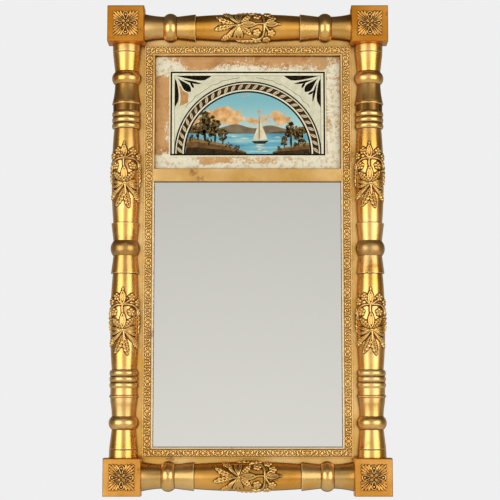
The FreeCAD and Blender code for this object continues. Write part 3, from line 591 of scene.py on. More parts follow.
class Turning:
    """A split turning read from its CAD node: its axis, its flat back and its outline."""

    CORNER = math.radians(24)
    STEP = 0.55 * MILLIMETRE
    SOFT_STEPS = 2
    COARSE_STEPS = 6
    RELIEF = 0.35 * MILLIMETRE
    FACETS = 72

    def __init__(self, node):
        self.node = node
        low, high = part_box(node)
        self.axis = 2 if high[2] - low[2] > high[0] - low[0] else 0
        self.side = 2 - self.axis
        self.middle = (low[self.side] + high[self.side]) / 2
        self.back = high[1]
        self.path = self.smooth(self.read())
        self.soils_and_shades = []

    def read(self):
        """The outline's corner points from the node's front vertices, end to end."""
        points = np.array([vertex.co for vertex in NODES[self.node].data.vertices])
        depth = self.back - points[:, 1]
        radius = np.hypot(points[:, self.side] - self.middle, depth)
        widest = radius.max()
        outer = (depth > 0.3 * widest) & (radius > 0.7 * widest)
        found = {}
        for place, reach in np.round(np.stack((points[outer, self.axis], radius[outer]), -1), 5):
            found.setdefault(place, set()).add(reach)
        path = []
        for place in sorted(found):
            last = path[-1][1] if path else 0
            path += [(place, reach) for reach in sorted(found[place], key=lambda reach: abs(reach - last))]
        return np.array(path)

    def smooth(self, path):
        """The outline with curved stretches rounded off, at an even step."""
        runs = np.diff(path, axis=0)
        lengths = np.hypot(*runs.T)
        ways = runs / lengths[:, None]
        turn = np.abs(np.arctan2(ways[:-1, 0] * ways[1:, 1] - ways[:-1, 1] * ways[1:, 0],
                                 (ways[:-1] * ways[1:]).sum(1)))
        eased = ways[:-1] + ways[1:]
        eased /= np.hypot(*eased.T)[:, None]
        corner = (turn > self.CORNER)[:, None]
        leave = np.vstack((ways[:1], np.where(corner, ways[1:], eased)))
        arrive = np.vstack((np.where(corner, ways[:-1], eased), ways[-1:]))
        drawn = []
        for index, length in enumerate(lengths):
            share = np.linspace(0, 1, max(2, round(length / self.STEP)), endpoint=False)[:, None]
            ease = share * share * (3 - 2 * share)
            drawn.append(path[index] * (1 - ease) + path[index + 1] * ease
                         + length * share * (1 - share) ** 2 * leave[index]
                         - length * share * share * (1 - share) * arrive[index])
        drawn = np.vstack((*drawn, path[-1:]))
        soft = self.eased(drawn, self.SOFT_STEPS)
        soft[[0, -1]] = drawn[[0, -1]]
        return soft

    def eased(self, path, half):
        padded = np.pad(path, ((half, half), (0, 0)), mode="edge")
        return np.stack([np.convolve(column, smoothing(half), "valid") for column in padded.T], -1)

    def radius(self, place):
        return np.interp(place, self.path[:, 0], self.path[:, 1])

    def point(self, place, angle, radius):
        """A point on the turning: its place along the axis, its angle from the front, its radius."""
        made = np.empty(np.broadcast(place, angle, radius).shape + (3,))
        turn = 1 if self.axis == 2 else -1
        made[..., self.axis] = place
        made[..., self.side] = self.middle + turn * radius * np.sin(angle)
        made[..., 1] = self.back - radius * np.cos(angle)
        return made

    def soiled_and_shaded(self, angle):
        """Shares of grime and painted shade: along the seams at the back, and round the ornaments."""
        seam = np.clip((np.abs(angle) - SEAM_SOIL_AND_SHADE[0]) / (SEAM_SOIL_AND_SHADE[1] - SEAM_SOIL_AND_SHADE[0]), 0, 1)
        soil_and_shade = np.repeat(SEAM_SOIL_AND_SHADE_SHARE * seam[None], len(self.path), axis=0)
        for middle, swell, carving, shade in self.soils_and_shades:
            along = carving.along[:, 0]
            across = carving.across[0]
            place = self.path[:, 0] - middle
            inside = np.abs(place) < along[-1]
            rows = np.clip(np.searchsorted(along, place), 0, len(along) - 1)
            columns = np.clip(np.searchsorted(across, angle * swell), 0, len(across) - 1)
            soil_and_shade = np.maximum(soil_and_shade, shade[np.ix_(rows, columns)] * inside[:, None])
        return soil_and_shade

    def build(self, finish, wash):
        columns = self.FACETS + 1
        rings = len(self.path)
        angle = np.linspace(-math.pi / 2, math.pi / 2, columns)
        points = self.point(self.path[:, :1], angle[None], self.path[:, 1:])
        index = np.arange(rings * columns).reshape(rings, columns)
        skin = grid_cells(rings, columns).reshape(-1, 4)
        back = np.stack((index[:-1, -1], index[:-1, 0], index[1:, 0], index[1:, -1]), -1)
        ends = [index[0, ::-1].tolist(), index[-1].tolist()]
        faces = np.vstack((skin, back)).tolist() + ends
        coarse = self.eased(self.path, self.COARSE_STEPS)
        way = np.gradient(coarse, axis=0)
        out = np.stack((-way[:, 1], way[:, 0]), -1) / np.hypot(*way.T)[:, None]
        # Grooves of the outline take the hollow share, for grime and painted shade, and its rounds the ridge
        # share, for a painted highlight and wear
        rise = ((self.path - coarse) * out).sum(1) / self.RELIEF
        shares = {"hollow": np.clip(-rise, 0, 1), "ridge": np.clip(rise, 0, 1), **wash(self.path[:, 0])}
        masks = {name: np.repeat(values, columns) for name, values in shares.items()}
        masks["hollow"] = np.maximum(masks["hollow"], self.soiled_and_shaded(angle).ravel())
        return mesh_piece(self.node + ".turned", points.reshape(-1, 3), faces, masks, self.node, finish)


SIDE_HALF_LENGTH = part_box("baluster_left")[1][2]
RAIL_HALF_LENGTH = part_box("baluster_top")[1][0]

# Stretches with a bronze wash or a deeper gold, from the face of the nearest corner block
SIDE_BELL = (0.0756, 0.1104)
SIDE_BAND = (0.1149, 0.1277)
SIDE_HEART = 0.374
UPPER_WASH_SHARE = 0.7
LOWER_WASH_SHARE = 0.15
BAND_WASH_SHARE = 1.0
HEART_WASH_SHARE = 0.5
SIDE_TONED_SHARE = 0.15
RAIL_BELL = 0.0363
RAIL_WASH_SHARE = 0.15
RAIL_SWELL = 0.0962
RAIL_TONED_SHARE = 0.85
RAIL_WORN_SHARE = 0.95


def side_wash(place):
    reach = SIDE_HALF_LENGTH - np.abs(place)
    bell = (reach > SIDE_BELL[0]) & (reach < SIDE_BELL[1])
    band = (reach > SIDE_BAND[0]) & (reach < SIDE_BAND[1])
    heart = reach > SIDE_HEART
    upper = place > 0
    dull = bell * np.where(upper, UPPER_WASH_SHARE, LOWER_WASH_SHARE)
    dull += band * upper * BAND_WASH_SHARE + heart * HEART_WASH_SHARE
    return {"dull": dull, "toned": np.full(len(place), SIDE_TONED_SHARE)}


def rail_wash(place):
    reach = RAIL_HALF_LENGTH - np.abs(place)
    return {"dull": (reach < RAIL_BELL) * RAIL_WASH_SHARE, "toned": (reach > RAIL_SWELL) * RAIL_TONED_SHARE}


def worn_rail_wash(place):
    return {**rail_wash(place), "worn": np.full(len(place), RAIL_WORN_SHARE)}


# Leaf ornaments on the balusters, in shares of half their length: across, then towards the bud

ORNAMENT_STEP = 0.42 * MILLIMETRE
ORNAMENT_SINK = 0.6 * MILLIMETRE
ORNAMENT_RELIEF = 3.3 * MILLIMETRE
ORNAMENT_RELIEF_REACH = 2.4 * MILLIMETRE
ORNAMENT_RELIEF_DEPTH = 1.0 * MILLIMETRE
# How far grime and painted shade spread round the leaf ornaments, and the height over which they fade in
ORNAMENT_SOIL_AND_SHADE_REACH = 4.2 * MILLIMETRE
ORNAMENT_SOIL_AND_SHADE_DEPTH = 0.6 * MILLIMETRE
ORNAMENT_WIDTH_SHARE = 1.3
ORNAMENT_LENGTH_SHARE = 2.02
KNOT_SHARES = (0.0, -0.246)
POD_SHARES = ((-0.02, -0.18), (-0.02, 0.02), (-0.02, 0.23))
BUD_SHARES = ((-0.03, 0.50), (-0.03, 0.68), (-0.03, 0.87))
BUD_TIP_SHARES = ((-0.03, 0.85), (-0.03, 0.92), (-0.02, 0.99))
RIM_SHARE = 0.13
FLOWER_SHARES = ((-0.22, 0.71), (0.25, 0.69), (0.225, 0.265), (-0.44, 0.57), (0.48, 0.54), (-0.31, 0.27))
STEM_SHARES = (
    ((-0.03, 0.48), (0.30, 0.51), (0.52, 0.42), (0.48, 0.20), (0.40, 0.12)),
    ((-0.03, 0.48), (-0.30, 0.51), (-0.52, 0.38), (-0.48, 0.14), (-0.40, 0.06)),
    ((-0.03, 0.49), (-0.12, 0.55), (-0.19, 0.66)),
    ((-0.03, 0.49), (0.10, 0.53), (0.21, 0.65)),
    ((-0.02, 0.22), (-0.06, 0.34), (-0.03, 0.49)),
    (KNOT_SHARES, (-0.12, -0.28), (-0.30, -0.23)),
    (KNOT_SHARES, (0.02, -0.40), (0.02, -0.56)),
)
SMOOTH_LEAF_SHARES = (
    (KNOT_SHARES, (0.20, -0.20), (0.40, -0.15)),
    (KNOT_SHARES, (0.20, -0.28), (0.42, -0.27)),
    (KNOT_SHARES, (0.18, -0.33), (0.40, -0.41)),
    (KNOT_SHARES, (0.14, -0.42), (0.38, -0.64)),
    (KNOT_SHARES, (-0.20, -0.24), (-0.42, -0.17)),
    (KNOT_SHARES, (-0.18, -0.33), (-0.42, -0.36)),
    (KNOT_SHARES, (-0.14, -0.42), (-0.38, -0.60)),
)
VEINED_LEAF_SHARES = (
    ((0.02, -0.22), (0.12, -0.10), (0.29, 0.10)),
    ((-0.02, -0.22), (-0.16, -0.10), (-0.36, 0.09)),
    ((0.02, -0.36), (0.04, -0.64), (0.15, -0.98)),
    ((-0.02, -0.36), (-0.06, -0.60), (-0.29, -0.93)),
    ((0.18, -0.40), (0.36, -0.56), (0.50, -0.78)),
    ((-0.18, -0.40), (-0.38, -0.54), (-0.54, -0.72)),
    ((0.50, -0.36), (0.66, -0.02), (0.54, 0.40)),
    ((-0.52, -0.34), (-0.68, 0.0), (-0.54, 0.40)),
)


def ornament_carving(half):
    """The leaf ornament, carved on a flat sheet for a half length."""
    width, length = ORNAMENT_WIDTH_SHARE * half, ORNAMENT_LENGTH_SHARE * half
    carving = Carving(width, length, ORNAMENT_STEP, -ORNAMENT_SINK)

    def at(shares):
        return np.array(shares) * half

    for shares in VEINED_LEAF_SHARES:
        carving.leaf(at(shares), 0.21 * half, ORNAMENT_RELIEF, lobes=6, belly=0.62)
    for shares in SMOOTH_LEAF_SHARES:
        carving.leaf(at(shares), 0.105 * half, 0.9 * ORNAMENT_RELIEF, belly=0.64)
    for shares in STEM_SHARES:
        carving.stem(at(shares), 0.031 * half, 0.75 * ORNAMENT_RELIEF, taper=0.2)
    for shares in FLOWER_SHARES:
        carving.flower(at(shares), 0.12 * half, ORNAMENT_RELIEF)
    for foot, middle, tip in (POD_SHARES, BUD_SHARES):
        carving.leaf(at((foot, middle, tip)), 0.12 * half, 0.6 * ORNAMENT_RELIEF)
        for aside in (-RIM_SHARE, RIM_SHARE):
            carving.stem(at((foot, (middle[0] + aside, middle[1]), tip)), 0.03 * half, ORNAMENT_RELIEF)
    carving.leaf(at(BUD_TIP_SHARES), 0.07 * half, 0.8 * ORNAMENT_RELIEF)
    carving.bead(at(KNOT_SHARES), 0.055 * half, ORNAMENT_RELIEF)
    return carving


def leaf_ornament(node, turning, carving, soil_and_shade, finish):
    """Wraps the carving round the swelling of a turning."""
    low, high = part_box(node)
    middle = (low[turning.axis] + high[turning.axis]) / 2
    swell = turning.radius(middle)

    def place(across, along, height):
        spot = along + middle
        return turning.point(spot, across / swell, turning.radius(spot) + height)

    turning.soils_and_shades.append((middle, swell, carving, soil_and_shade))
    masks = carving.masks(ORNAMENT_RELIEF_REACH, ORNAMENT_RELIEF_DEPTH, soil_and_shade)
    kept = around(carving.height > -0.9 * ORNAMENT_SINK)
    return carved_piece(node, carving, place, -2 * ORNAMENT_SINK, kept, masks, finish)


def make_balusters(finish, cast):
    low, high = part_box("leaf_ornament_left_upper")
    carving = ornament_carving((high[2] - low[2]) / 2)
    soil_and_shade = carving.soil_and_shade(ORNAMENT_SOIL_AND_SHADE_REACH, ORNAMENT_SOIL_AND_SHADE_DEPTH)
    for side in SIDES:
        turning = Turning("baluster_" + side)
        for level in ("upper", "lower"):
            leaf_ornament(f"leaf_ornament_{side}_{level}", turning, carving, soil_and_shade, cast)
        turning.build(finish, side_wash)
    for end, wash in (("top", rail_wash), ("bottom", worn_rail_wash)):
        turning = Turning("baluster_" + end)
        leaf_ornament("leaf_ornament_" + end, turning, carving, soil_and_shade, cast)
        turning.build(finish, wash)


# Rosettes on the corner blocks, in shares of half their width

ROSETTE_STEP = 0.33 * MILLIMETRE
# How far grime and painted shade spread round the rosette's raised parts, and the height over which they fade
# in
ROSETTE_SOIL_AND_SHADE_REACH = 1.8 * MILLIMETRE
ROSETTE_SOIL_AND_SHADE_DEPTH = 1.0 * MILLIMETRE
ROSETTE_RELIEF_REACH = 3.0 * MILLIMETRE
ROSETTE_RELIEF_DEPTH = 1.1 * MILLIMETRE
ROSETTE_EDGE_SHARE = 0.2
PLATE_SHARE = 0.25
# Grime and painted shade on the rosette's low plate
PLATE_SOIL_AND_SHADE_SHARE = 0.36
# Shares of the ridges' painted highlight and wear, and of the deeper gold, on the rosettes
ROSETTE_PALE_SHARE = 0.8
ROSETTE_TONED_SHARE = 0.8
EYE_SHARE = 0.07
PETAL_SHARES = ((0.06, 0.06), (0.16, 0.16), (0.26, 0.26))
VOLUTE_SHARES = (0.0, 0.68)
VOLUTE_REACH_SHARE = 0.19
VOLUTE_TURN = math.radians(132)
VOLUTE_STEM_SHARES = ((0.05, 0.30), (0.08, 0.42), (0.15, 0.55))
ACANTHUS_SHARES = (
    ((0.26, 0.26), (0.58, 0.58), (0.95, 0.95)),
    ((0.38, 0.30), (0.72, 0.42), (0.95, 0.70)),
    ((0.42, 0.26), (0.76, 0.27), (0.96, 0.43)),
)


def turned_shares(shares, quarter):
    """The points turned by quarter turns about the middle."""
    angle = quarter * math.pi / 2
    turn = np.array(((math.cos(angle), -math.sin(angle)), (math.sin(angle), math.cos(angle))))
    return np.array(shares) @ turn.T


def rosette_carving(half, relief):
    """Four petals round an eye, a volute on each side and acanthus leaflets out to the corners."""
    ground = PLATE_SHARE * relief
    rise = relief - ground
    carving = Carving(2 * half, 2 * half, ROSETTE_STEP, ground, ground)
    for quarter in range(4):
        for mirrored in (1, -1):

            def at(shares):
                return turned_shares(np.array(shares) * (mirrored, 1), quarter) * half

            for shares in ACANTHUS_SHARES:
                carving.leaf(at(shares), 0.21 * half, 0.92 * rise, belly=0.66, vein=0.12)
            carving.stem(at(VOLUTE_STEM_SHARES), 0.05 * half, 0.9 * rise)
        turns = np.linspace(-VOLUTE_TURN, VOLUTE_TURN, 21)
        curl = np.stack((np.sin(turns), np.cos(turns)), -1) * VOLUTE_REACH_SHARE + VOLUTE_SHARES
        carving.ridge(at(curl), 0.06 * half, rise)
        carving.bead(at(VOLUTE_SHARES), 0.11 * half, 0.9 * rise)
        carving.leaf(at(PETAL_SHARES), 0.24 * half, rise, belly=0.6)
    carving.bead((0.0, 0.0), EYE_SHARE * half, 0.8 * rise)
    return carving


def make_rosettes(finish):
    low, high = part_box("rosette_top_left")
    half = (high[0] - low[0]) / 2
    relief = high[1] - low[1]
    carving = rosette_carving(half, relief)
    soil_and_shade = carving.soil_and_shade(ROSETTE_SOIL_AND_SHADE_REACH, ROSETTE_SOIL_AND_SHADE_DEPTH)
    masks = carving.masks(ROSETTE_RELIEF_REACH, ROSETTE_RELIEF_DEPTH,
                          PLATE_SOIL_AND_SHADE_SHARE + (1 - PLATE_SOIL_AND_SHADE_SHARE) * soil_and_shade)
    masks["ridge"] *= ROSETTE_PALE_SHARE
    masks["toned"] = np.full(carving.height.shape, ROSETTE_TONED_SHARE)
    kept = around(soil_and_shade > ROSETTE_EDGE_SHARE)
    for end in ENDS:
        for side in SIDES:
            node = f"rosette_{end}_{side}"
            low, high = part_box(node)
            middle = (low + high) / 2

            def place(across, along, height):
                return np.stack((middle[0] + across, high[1] - height, middle[2] + along), -1)

            carved_piece(node, carving, place, 0.0, kept, masks, finish)


# Cast ornament in the moulding's hollow, over and over: a flower, curled stems, leaves and buds.
# Points are in shares of the repeat along the strip, then of its width towards the outer edge.

STRIP_STEP = 0.34 * MILLIMETRE
STRIP_REPEAT = 0.0534
STRIP_GROUND_SHARE = 0.7
STRIP_RELIEF_REACH = 2.4 * MILLIMETRE
STRIP_RELIEF_DEPTH = 0.35 * MILLIMETRE
# Painted shade with grime along both edges of the strip, from and to these shares of its width
STRIP_EDGE_SHADE_SHARES = (0.42, 0.5)
# Grime and painted shade on the strip's low ground
STRIP_SOIL_AND_SHADE_SHARE = 0.52
# Share of the ridges' painted highlight and wear on the strips
STRIP_PALE_SHARE = 1.0
STRIP_TONED_SHARE = 0.5
STRIP_FLOWER_SHARES = (0.0, 0.04)
STRIP_SCROLL_SHARES = (
    ((0.06, -0.36), (0.20, -0.44), (0.19, 0.30), (0.10, 0.44), (0.075, 0.20)),
    ((0.33, 0.10), (0.31, -0.40), (0.45, -0.50), (0.46, -0.06), (0.40, -0.04)),
)
STRIP_LEAF_SHARES = (
    ((0.13, 0.42), (0.20, 0.44), (0.24, 0.20)),
    ((0.20, -0.04), (0.25, -0.14), (0.24, -0.42)),
    ((0.26, 0.42), (0.31, 0.36), (0.30, 0.02)),
    ((0.37, 0.16), (0.41, 0.34), (0.46, 0.42)),
    ((0.02, 0.40), (0.05, 0.40), (0.07, 0.30)),
)
STRIP_BUD_SHARES = ((0.5, 0.30), (0.5, 0.06), (0.5, -0.14))
STRIP_BEAD_SHARES = ((0.345, 0.36), (0.29, -0.30), (0.5, -0.36), (0.12, 0.0))


def strip_carving(width, length, relief, repeats):
    """A strip of the ornament, each repeat alike on both sides of its flower."""
    ground = STRIP_GROUND_SHARE * relief
    rise = relief - ground
    carving = Carving(width, length, STRIP_STEP, ground, ground)
    repeat = length / repeats
    for count in range(repeats):
        middle = -length / 2 + (count + 0.5) * repeat
        for mirrored in (1, -1):

            def at(shares):
                along, across = np.array(shares).T
                return np.stack((across * width, middle + mirrored * along * repeat), -1)

            for shares in STRIP_LEAF_SHARES:
                carving.leaf(at(shares), 0.25 * width, 0.95 * rise, belly=0.6, vein=0.1)
            for shares in STRIP_SCROLL_SHARES:
                carving.stem(at(shares), 0.095 * width, 0.95 * rise)
            for spot in at(STRIP_BEAD_SHARES):
                carving.bead(spot, 0.11 * width, rise)
        carving.leaf(at(STRIP_BUD_SHARES), 0.3 * width, 0.95 * rise)
        carving.flower(at([STRIP_FLOWER_SHARES])[0], 0.24 * width, rise, petals=6)
    return carving


def make_strips(finish):
    for quarter, edge in enumerate(EDGES):
        node = "ornament_strip_" + edge
        low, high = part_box(node)
        relief = high[1] - low[1]
        spans = (high[0] - low[0], high[2] - low[2])
        length, width = max(spans), min(spans)
        carving = strip_carving(width, length, relief, round(length / STRIP_REPEAT))
        middle = (low + high) / 2
        turn = np.array(Matrix.Rotation(quarter * math.pi / 2, 3, "Y"))
        centre = np.array((0.0, 0.0, max(abs(middle[0]), abs(middle[2]))))
        half = length / 2
        room = half - width / 2 + carving.across

        def place(across, along, height):
            kept_in = np.clip(along, -room, room)
            flat = np.stack((-kept_in, high[1] - height, across), -1)
            return (flat + centre) @ turn.T

        kept = around(np.abs(carving.along) < room)
        # Painted shade with grime along both edges of the strip
        rim = np.abs(carving.across) / width - STRIP_EDGE_SHADE_SHARES[0]
        rim = np.clip(rim / (STRIP_EDGE_SHADE_SHARES[1] - STRIP_EDGE_SHADE_SHARES[0]), 0, 1)
        masks = carving.masks(STRIP_RELIEF_REACH, STRIP_RELIEF_DEPTH, STRIP_SOIL_AND_SHADE_SHARE)
        masks["hollow"] = np.maximum(masks["hollow"], rim)
        masks["ridge"] *= STRIP_PALE_SHARE
        masks["toned"] = np.full(carving.height.shape, STRIP_TONED_SHARE)
        carved_piece(node, carving, place, 0.0, kept, masks, finish)


# The tablet's painting: flat shapes in thin layers behind the glass

class Film:
    """Flat shapes in thin layers, gathered into one mesh with a paint for each face."""

    SHEET = 0.1 * MILLIMETRE
    LAYER = 0.014 * MILLIMETRE

    def __init__(self, back):
        self.back = back
        self.points = []
        self.faces = []
        self.paints = []
        self.finishes = []

    def shape(self, outline, layer, finish):
        """A thin solid with that outline, across and up, its face at the layer's depth."""
        outline = np.array(outline)
        ahead = np.roll(outline, -1, axis=0)
        if np.sum(outline[:, 0] * ahead[:, 1] - outline[:, 1] * ahead[:, 0]) < 0:
            outline = outline[::-1]
        if finish not in self.finishes:
            self.finishes.append(finish)
        count = len(outline)
        near = list(range(len(self.points), len(self.points) + count))
        for depth in (self.back - self.SHEET - layer * self.LAYER, self.back):
            self.points += [(across, depth, up) for across, up in outline]
        far = [index + count for index in near]
        walls = [(near[i - 1], far[i - 1], far[i], near[i]) for i in range(count)]
        self.faces += [near, far[::-1], *walls]
        self.paints += [self.finishes.index(finish)] * (count + 2)

    def build(self, node, slot):
        points = np.array(self.points)
        piece = mesh_piece(node + ".film", points, self.faces, {}, node, self.finishes[0])
        for finish in self.finishes[1:]:
            piece.data.materials.append(finish)
        piece.data.polygons.foreach_set("material_index", self.paints)
        piece.data.shade_flat()
        return piece


def rectangle(low, high):
    return [(low[0], low[1]), (high[0], low[1]), (high[0], high[1]), (low[0], high[1])]


def arc_band(centre, inner, outer, turns, count=60):
    """A pencilled band along an arc, wavering a little."""
    angles = np.linspace(*turns, count + 1)
    rays = np.stack((np.cos(angles), np.sin(angles)), -1)
    waver = PENCIL_WAVE * sum(np.sin(waves * angles) for waves in PENCIL_WAVES)[:, None]
    return np.vstack((centre + (outer + waver) * rays, (centre + (inner + waver) * rays)[::-1]))


def half_disc(centre, radius, count=96):
    angles = np.linspace(0, math.pi, count + 1)
    return [(centre[0] + radius * math.cos(angle), centre[1] + radius * math.sin(angle)) for angle in angles]


def blade(points, width, belly=0.5):
    """A pointed stroke along a curve, widest at the belly's share of its length."""
    spine = bend(points, 20)
    way = np.gradient(spine, axis=0)
    aside = np.stack((-way[:, 1], way[:, 0]), -1) / np.hypot(*way.T)[:, None]
    share = np.linspace(0, 1, len(spine))
    half = width / 2 * swelling(share, belly) ** 0.8
    return np.vstack((spine + aside * half[:, None], (spine - aside * half[:, None])[-2:0:-1]))


def blob(centre, radius, chance, points=11):
    """A rough round patch of paint."""
    angles = np.arange(points) * 2 * math.pi / points
    reach = radius * chance.uniform(0.72, 1.18, points)
    return np.stack((centre[0] + reach * np.cos(angles), centre[1] + reach * np.sin(angles)), -1)


RAGGED_STEP = 1.6 * MILLIMETRE
RAGGED_REACH = 0.7 * MILLIMETRE
FLAT_PAINT = {"Roughness": 0.65, "Specular_IOR_Level": 0.0}

# Oil paints: the light and the dark of the brushed tone, its fineness, and the level where flakes begin
PAINTS = {
    "black": ((26, 21, 11), (14, 11, 6), 120, 0.74),
    "cream": ((240, 238, 222), (224, 221, 200), 120, 0.9),
    "ground": ((228, 227, 210), (210, 208, 188), 70, 0.9),
    "brown": ((70, 48, 26), (44, 30, 14), 160, 0.74),
    "tan": ((202, 156, 106), (184, 134, 86), 90, 0.62),
    "strand": ((232, 220, 198), (200, 180, 150), 200, 0.74),
    "core": ((150, 118, 82), (112, 84, 54), 200, 0.74),
    "hill": ((138, 122, 100), (106, 92, 78), 60, 0.74),
    "shore": ((112, 92, 58), (78, 62, 38), 60, 0.74),
    "grass": ((172, 138, 84), (126, 96, 54), 80, 0.74),
    "earth": ((132, 98, 60), (82, 60, 38), 80, 0.74),
    "shade": ((66, 52, 32), (40, 32, 20), 90, 0.74),
    "leaf": ((98, 82, 46), (70, 58, 32), 90, 0.74),
    "lit_leaf": ((164, 136, 84), (126, 102, 58), 90, 0.74),
    "sail": ((238, 230, 210), (218, 202, 172), 90, 0.74),
}



def ragged(outline, chance):
    """The outline with its edges broken up, as where paint has flaked away."""
    ahead = np.roll(outline, -1, axis=0)
    counts = np.maximum(1, np.round(np.hypot(*(ahead - outline).T) / RAGGED_STEP)).astype(int)
    points = [start + (end - start) * np.arange(count)[:, None] / count
              for start, end, count in zip(outline, ahead, counts)]
    points = np.vstack(points)
    return points + chance.uniform(-RAGGED_REACH, RAGGED_REACH, points.shape)


def pigment(name, light, dark, scale, flaked):
    """Old oil paint behind glass: brushed tone, fine cracks and small lost flakes."""
    made = Finish(name)
    brushed = made.noise(scale, detail=6, roughness=0.65)
    colour = made.ramp(brushed, (0.35, tint(*dark)), (0.65, tint(*light)))
    lost = made.span(made.noise(330, detail=6, roughness=0.7), flaked, flaked + 0.03)
    crack = made.span(made.cells(210), 0.012, 0.0, 0.0, 0.35)
    colour = made.blend(crack, colour, tint(150, 138, 112))
    made.set(Base_Color=made.blend(lost, colour, tint(214, 208, 186)), **FLAT_PAINT)
    made.bump(brushed, BRUSH_MARK, 0.2)
    return made.material


def sky_paint(name, low, high):
    """Pale blue, lighter towards the horizon, with heaped peach clouds at mid height."""
    made = Finish(name)
    up = made.span(made.parts(made.place)["Z"], low, high)
    blue = made.ramp(up, (0.2, tint(204, 222, 220)), (0.6, tint(166, 208, 218)), (0.95, tint(132, 190, 208)))
    band = made.ramp(up, (0.3, 0.0), (0.52, 0.12), (0.74, 0.08), (0.95, -0.1))
    cloud = made.plus(made.noise(24, detail=9, roughness=0.6, stretch=(0.8, 1.0, 1.3)), band)
    tone = made.noise(70, detail=7, roughness=0.65)
    peach = made.ramp(tone, (0.34, tint(196, 138, 84)), (0.5, tint(226, 178, 124)),
                      (0.66, tint(240, 212, 170)))
    made.set(Base_Color=made.blend(made.span(cloud, 0.53, 0.58), blue, peach), **FLAT_PAINT)
    return made.material


def water_paint(name):
    """Blue water with long level streaks."""
    made = Finish(name)
    streak = made.noise(70, detail=7, roughness=0.62, stretch=(0.16, 1.0, 1.5))
    colour = made.ramp(streak, (0.34, tint(74, 142, 178)), (0.5, tint(112, 178, 204)),
                       (0.62, tint(150, 200, 212)), (0.72, tint(206, 216, 204)))
    made.set(Base_Color=colour, **FLAT_PAINT)
    return made.material


# Where the border's tan is worn, and a patch at the foot that stays: beyond the panel, from the pane's foot,
# from its head, and round a blot in the corner
SIDE_WEAR = 0.006
FOOT_WEAR = (0.036, 0.030)
FOOT_PATCH = (0.009, 0.021)
HEAD_WEAR = (0.012, 0.036, 0.050)
BLOT_INSET = (0.010, 0.012)
BLOT_REACH = 0.016


def border_paint(name, low, high, half):
    """The tan border, worn to a pale ground: most of it on the right and below, flakes elsewhere."""
    made = Finish(name)
    parts = made.parts(made.place)
    right = made.span(parts["X"], half, half + SIDE_WEAR, 0.0, 0.095)
    below = made.span(parts["Z"], low[1] + FOOT_WEAR[0], low[1] + FOOT_WEAR[1], 0.0, 0.22)
    middle = made.span(made.math("ABSOLUTE", parts["X"]), 0.95 * half, 0.5 * half)
    strip = made.span(parts["Z"], low[1] + FOOT_PATCH[0], low[1] + FOOT_PATCH[1])
    patch = made.times(middle, strip, below)
    start, full, end = [high[1] - wear for wear in HEAD_WEAR]
    top = made.times(made.span(parts["Z"], start, full, 0.0, 0.09), made.span(parts["Z"], end, full))
    corner = made.add("ShaderNodeVectorMath", operation="DISTANCE")
    made.feed(corner.inputs[0], made.place)
    made.feed(corner.inputs[1], (BLOT_INSET[0] - SIGHT_HALF_WIDTH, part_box("reverse_painting")[0][1],
                                 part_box("moulding_top")[0][2] - BLOT_INSET[1]))
    blot = made.span(corner.outputs["Value"], BLOT_REACH, 0.4 * BLOT_REACH, 0.0, 0.26)
    drift = made.noise(14, detail=3)
    flake = made.noise(210, detail=9, roughness=0.8)
    worn = made.plus(made.times(drift, 0.5), made.times(flake, 0.5), right, below, blot, top)
    worn = made.less(worn, made.times(patch, 0.78))
    tan = made.ramp(made.noise(30, detail=8), (0.32, tint(178, 128, 80)), (0.5, tint(208, 162, 112)),
                    (0.68, tint(202, 152, 110)))
    pale = made.ramp(made.noise(120, detail=8), (0.34, tint(206, 188, 158)), (0.52, tint(236, 232, 218)))
    edge = made.span(parts["X"], -0.97 * half, 1.22 * low[0], 0.0, 0.3)
    stain = made.plus(made.noise(38, detail=7), edge)
    tan = made.blend(made.span(stain, 0.58, 0.78, 0.0, 0.8), tan, tint(150, 92, 62))
    tan = made.blend(made.span(parts["X"], 0.6 * half, half, 0.0, 0.6), tan, tint(196, 166, 124))
    tan = made.blend(made.span(below, 0, 0.22, 0.0, 0.6), tan, tint(208, 168, 120))
    colour = made.blend(made.span(worn, 0.565, 0.585), tan, pale)
    speck = made.span(made.noise(260, detail=5), 0.67, 0.71)
    colour = made.blend(speck, colour, tint(140, 100, 62))
    # A painted shade line where the pane meets the frame
    line = frame_shade_line(made, "moulding_top", "divider_bar")
    made.set(Base_Color=made.blend(line, colour, tint(116, 72, 34)), **FLAT_PAINT)
    return made.material


# The painted panel inside the border, and the parts of its frame
PANEL_SIDE = 0.0293
PANEL_TOP = 0.0295
PANEL_BASE = 0.0268
HALO = 0.0022
RULE = 0.0031
MARGIN = 0.0046
HAIRLINE = 0.0006
ARCH_RULES = (0.0, 0.0028, 0.0047, 0.0160, 0.0187, 0.0218)
ROPE_STRANDS = 29
ROPE_LEAN = 0.045

# Corner fans, from the corner inwards and down, in shares of the fan's reach
FAN_REACH = 0.070
FAN_TOP_SHARES = ((0.04, 0.0), (0.99, 0.0), (0.93, 0.05), (0.81, 0.12), (0.69, 0.127), (0.49, 0.107),
                  (0.25, 0.055))
FAN_SIDE_SHARES = ((0.0, 0.08), (0.05, 0.15), (0.10, 0.38), (0.113, 0.54), (0.093, 0.70), (0.01, 0.85),
                   (0.0, 0.85))
FAN_DROP_SHARES = ((0.04, 0.03), (0.22, 0.21), (0.43, 0.44))
FAN_RIM_SHARES = (
    ((0.07, 0.02), (0.42, 0.16), (0.76, 0.165)),
    ((0.02, 0.07), (0.17, 0.42), (0.12, 0.86)),
)
FAN_STROKE_SHARES = (
    ((0.19, 0.09), (0.42, 0.18), (0.72, 0.215)),
    ((0.40, 0.17), (0.47, 0.24), (0.51, 0.34)),
)
FAN_PATCH_SHARES = ((0.10, 0.24), (0.20, 0.32), (0.37, 0.50), (0.36, 0.74), (0.12, 0.84), (0.14, 0.6),
                    (0.13, 0.4))
PENCIL_OFF = 0.0075
PENCIL_WIDTH = 0.0007
PENCIL_WAVE = 0.0006
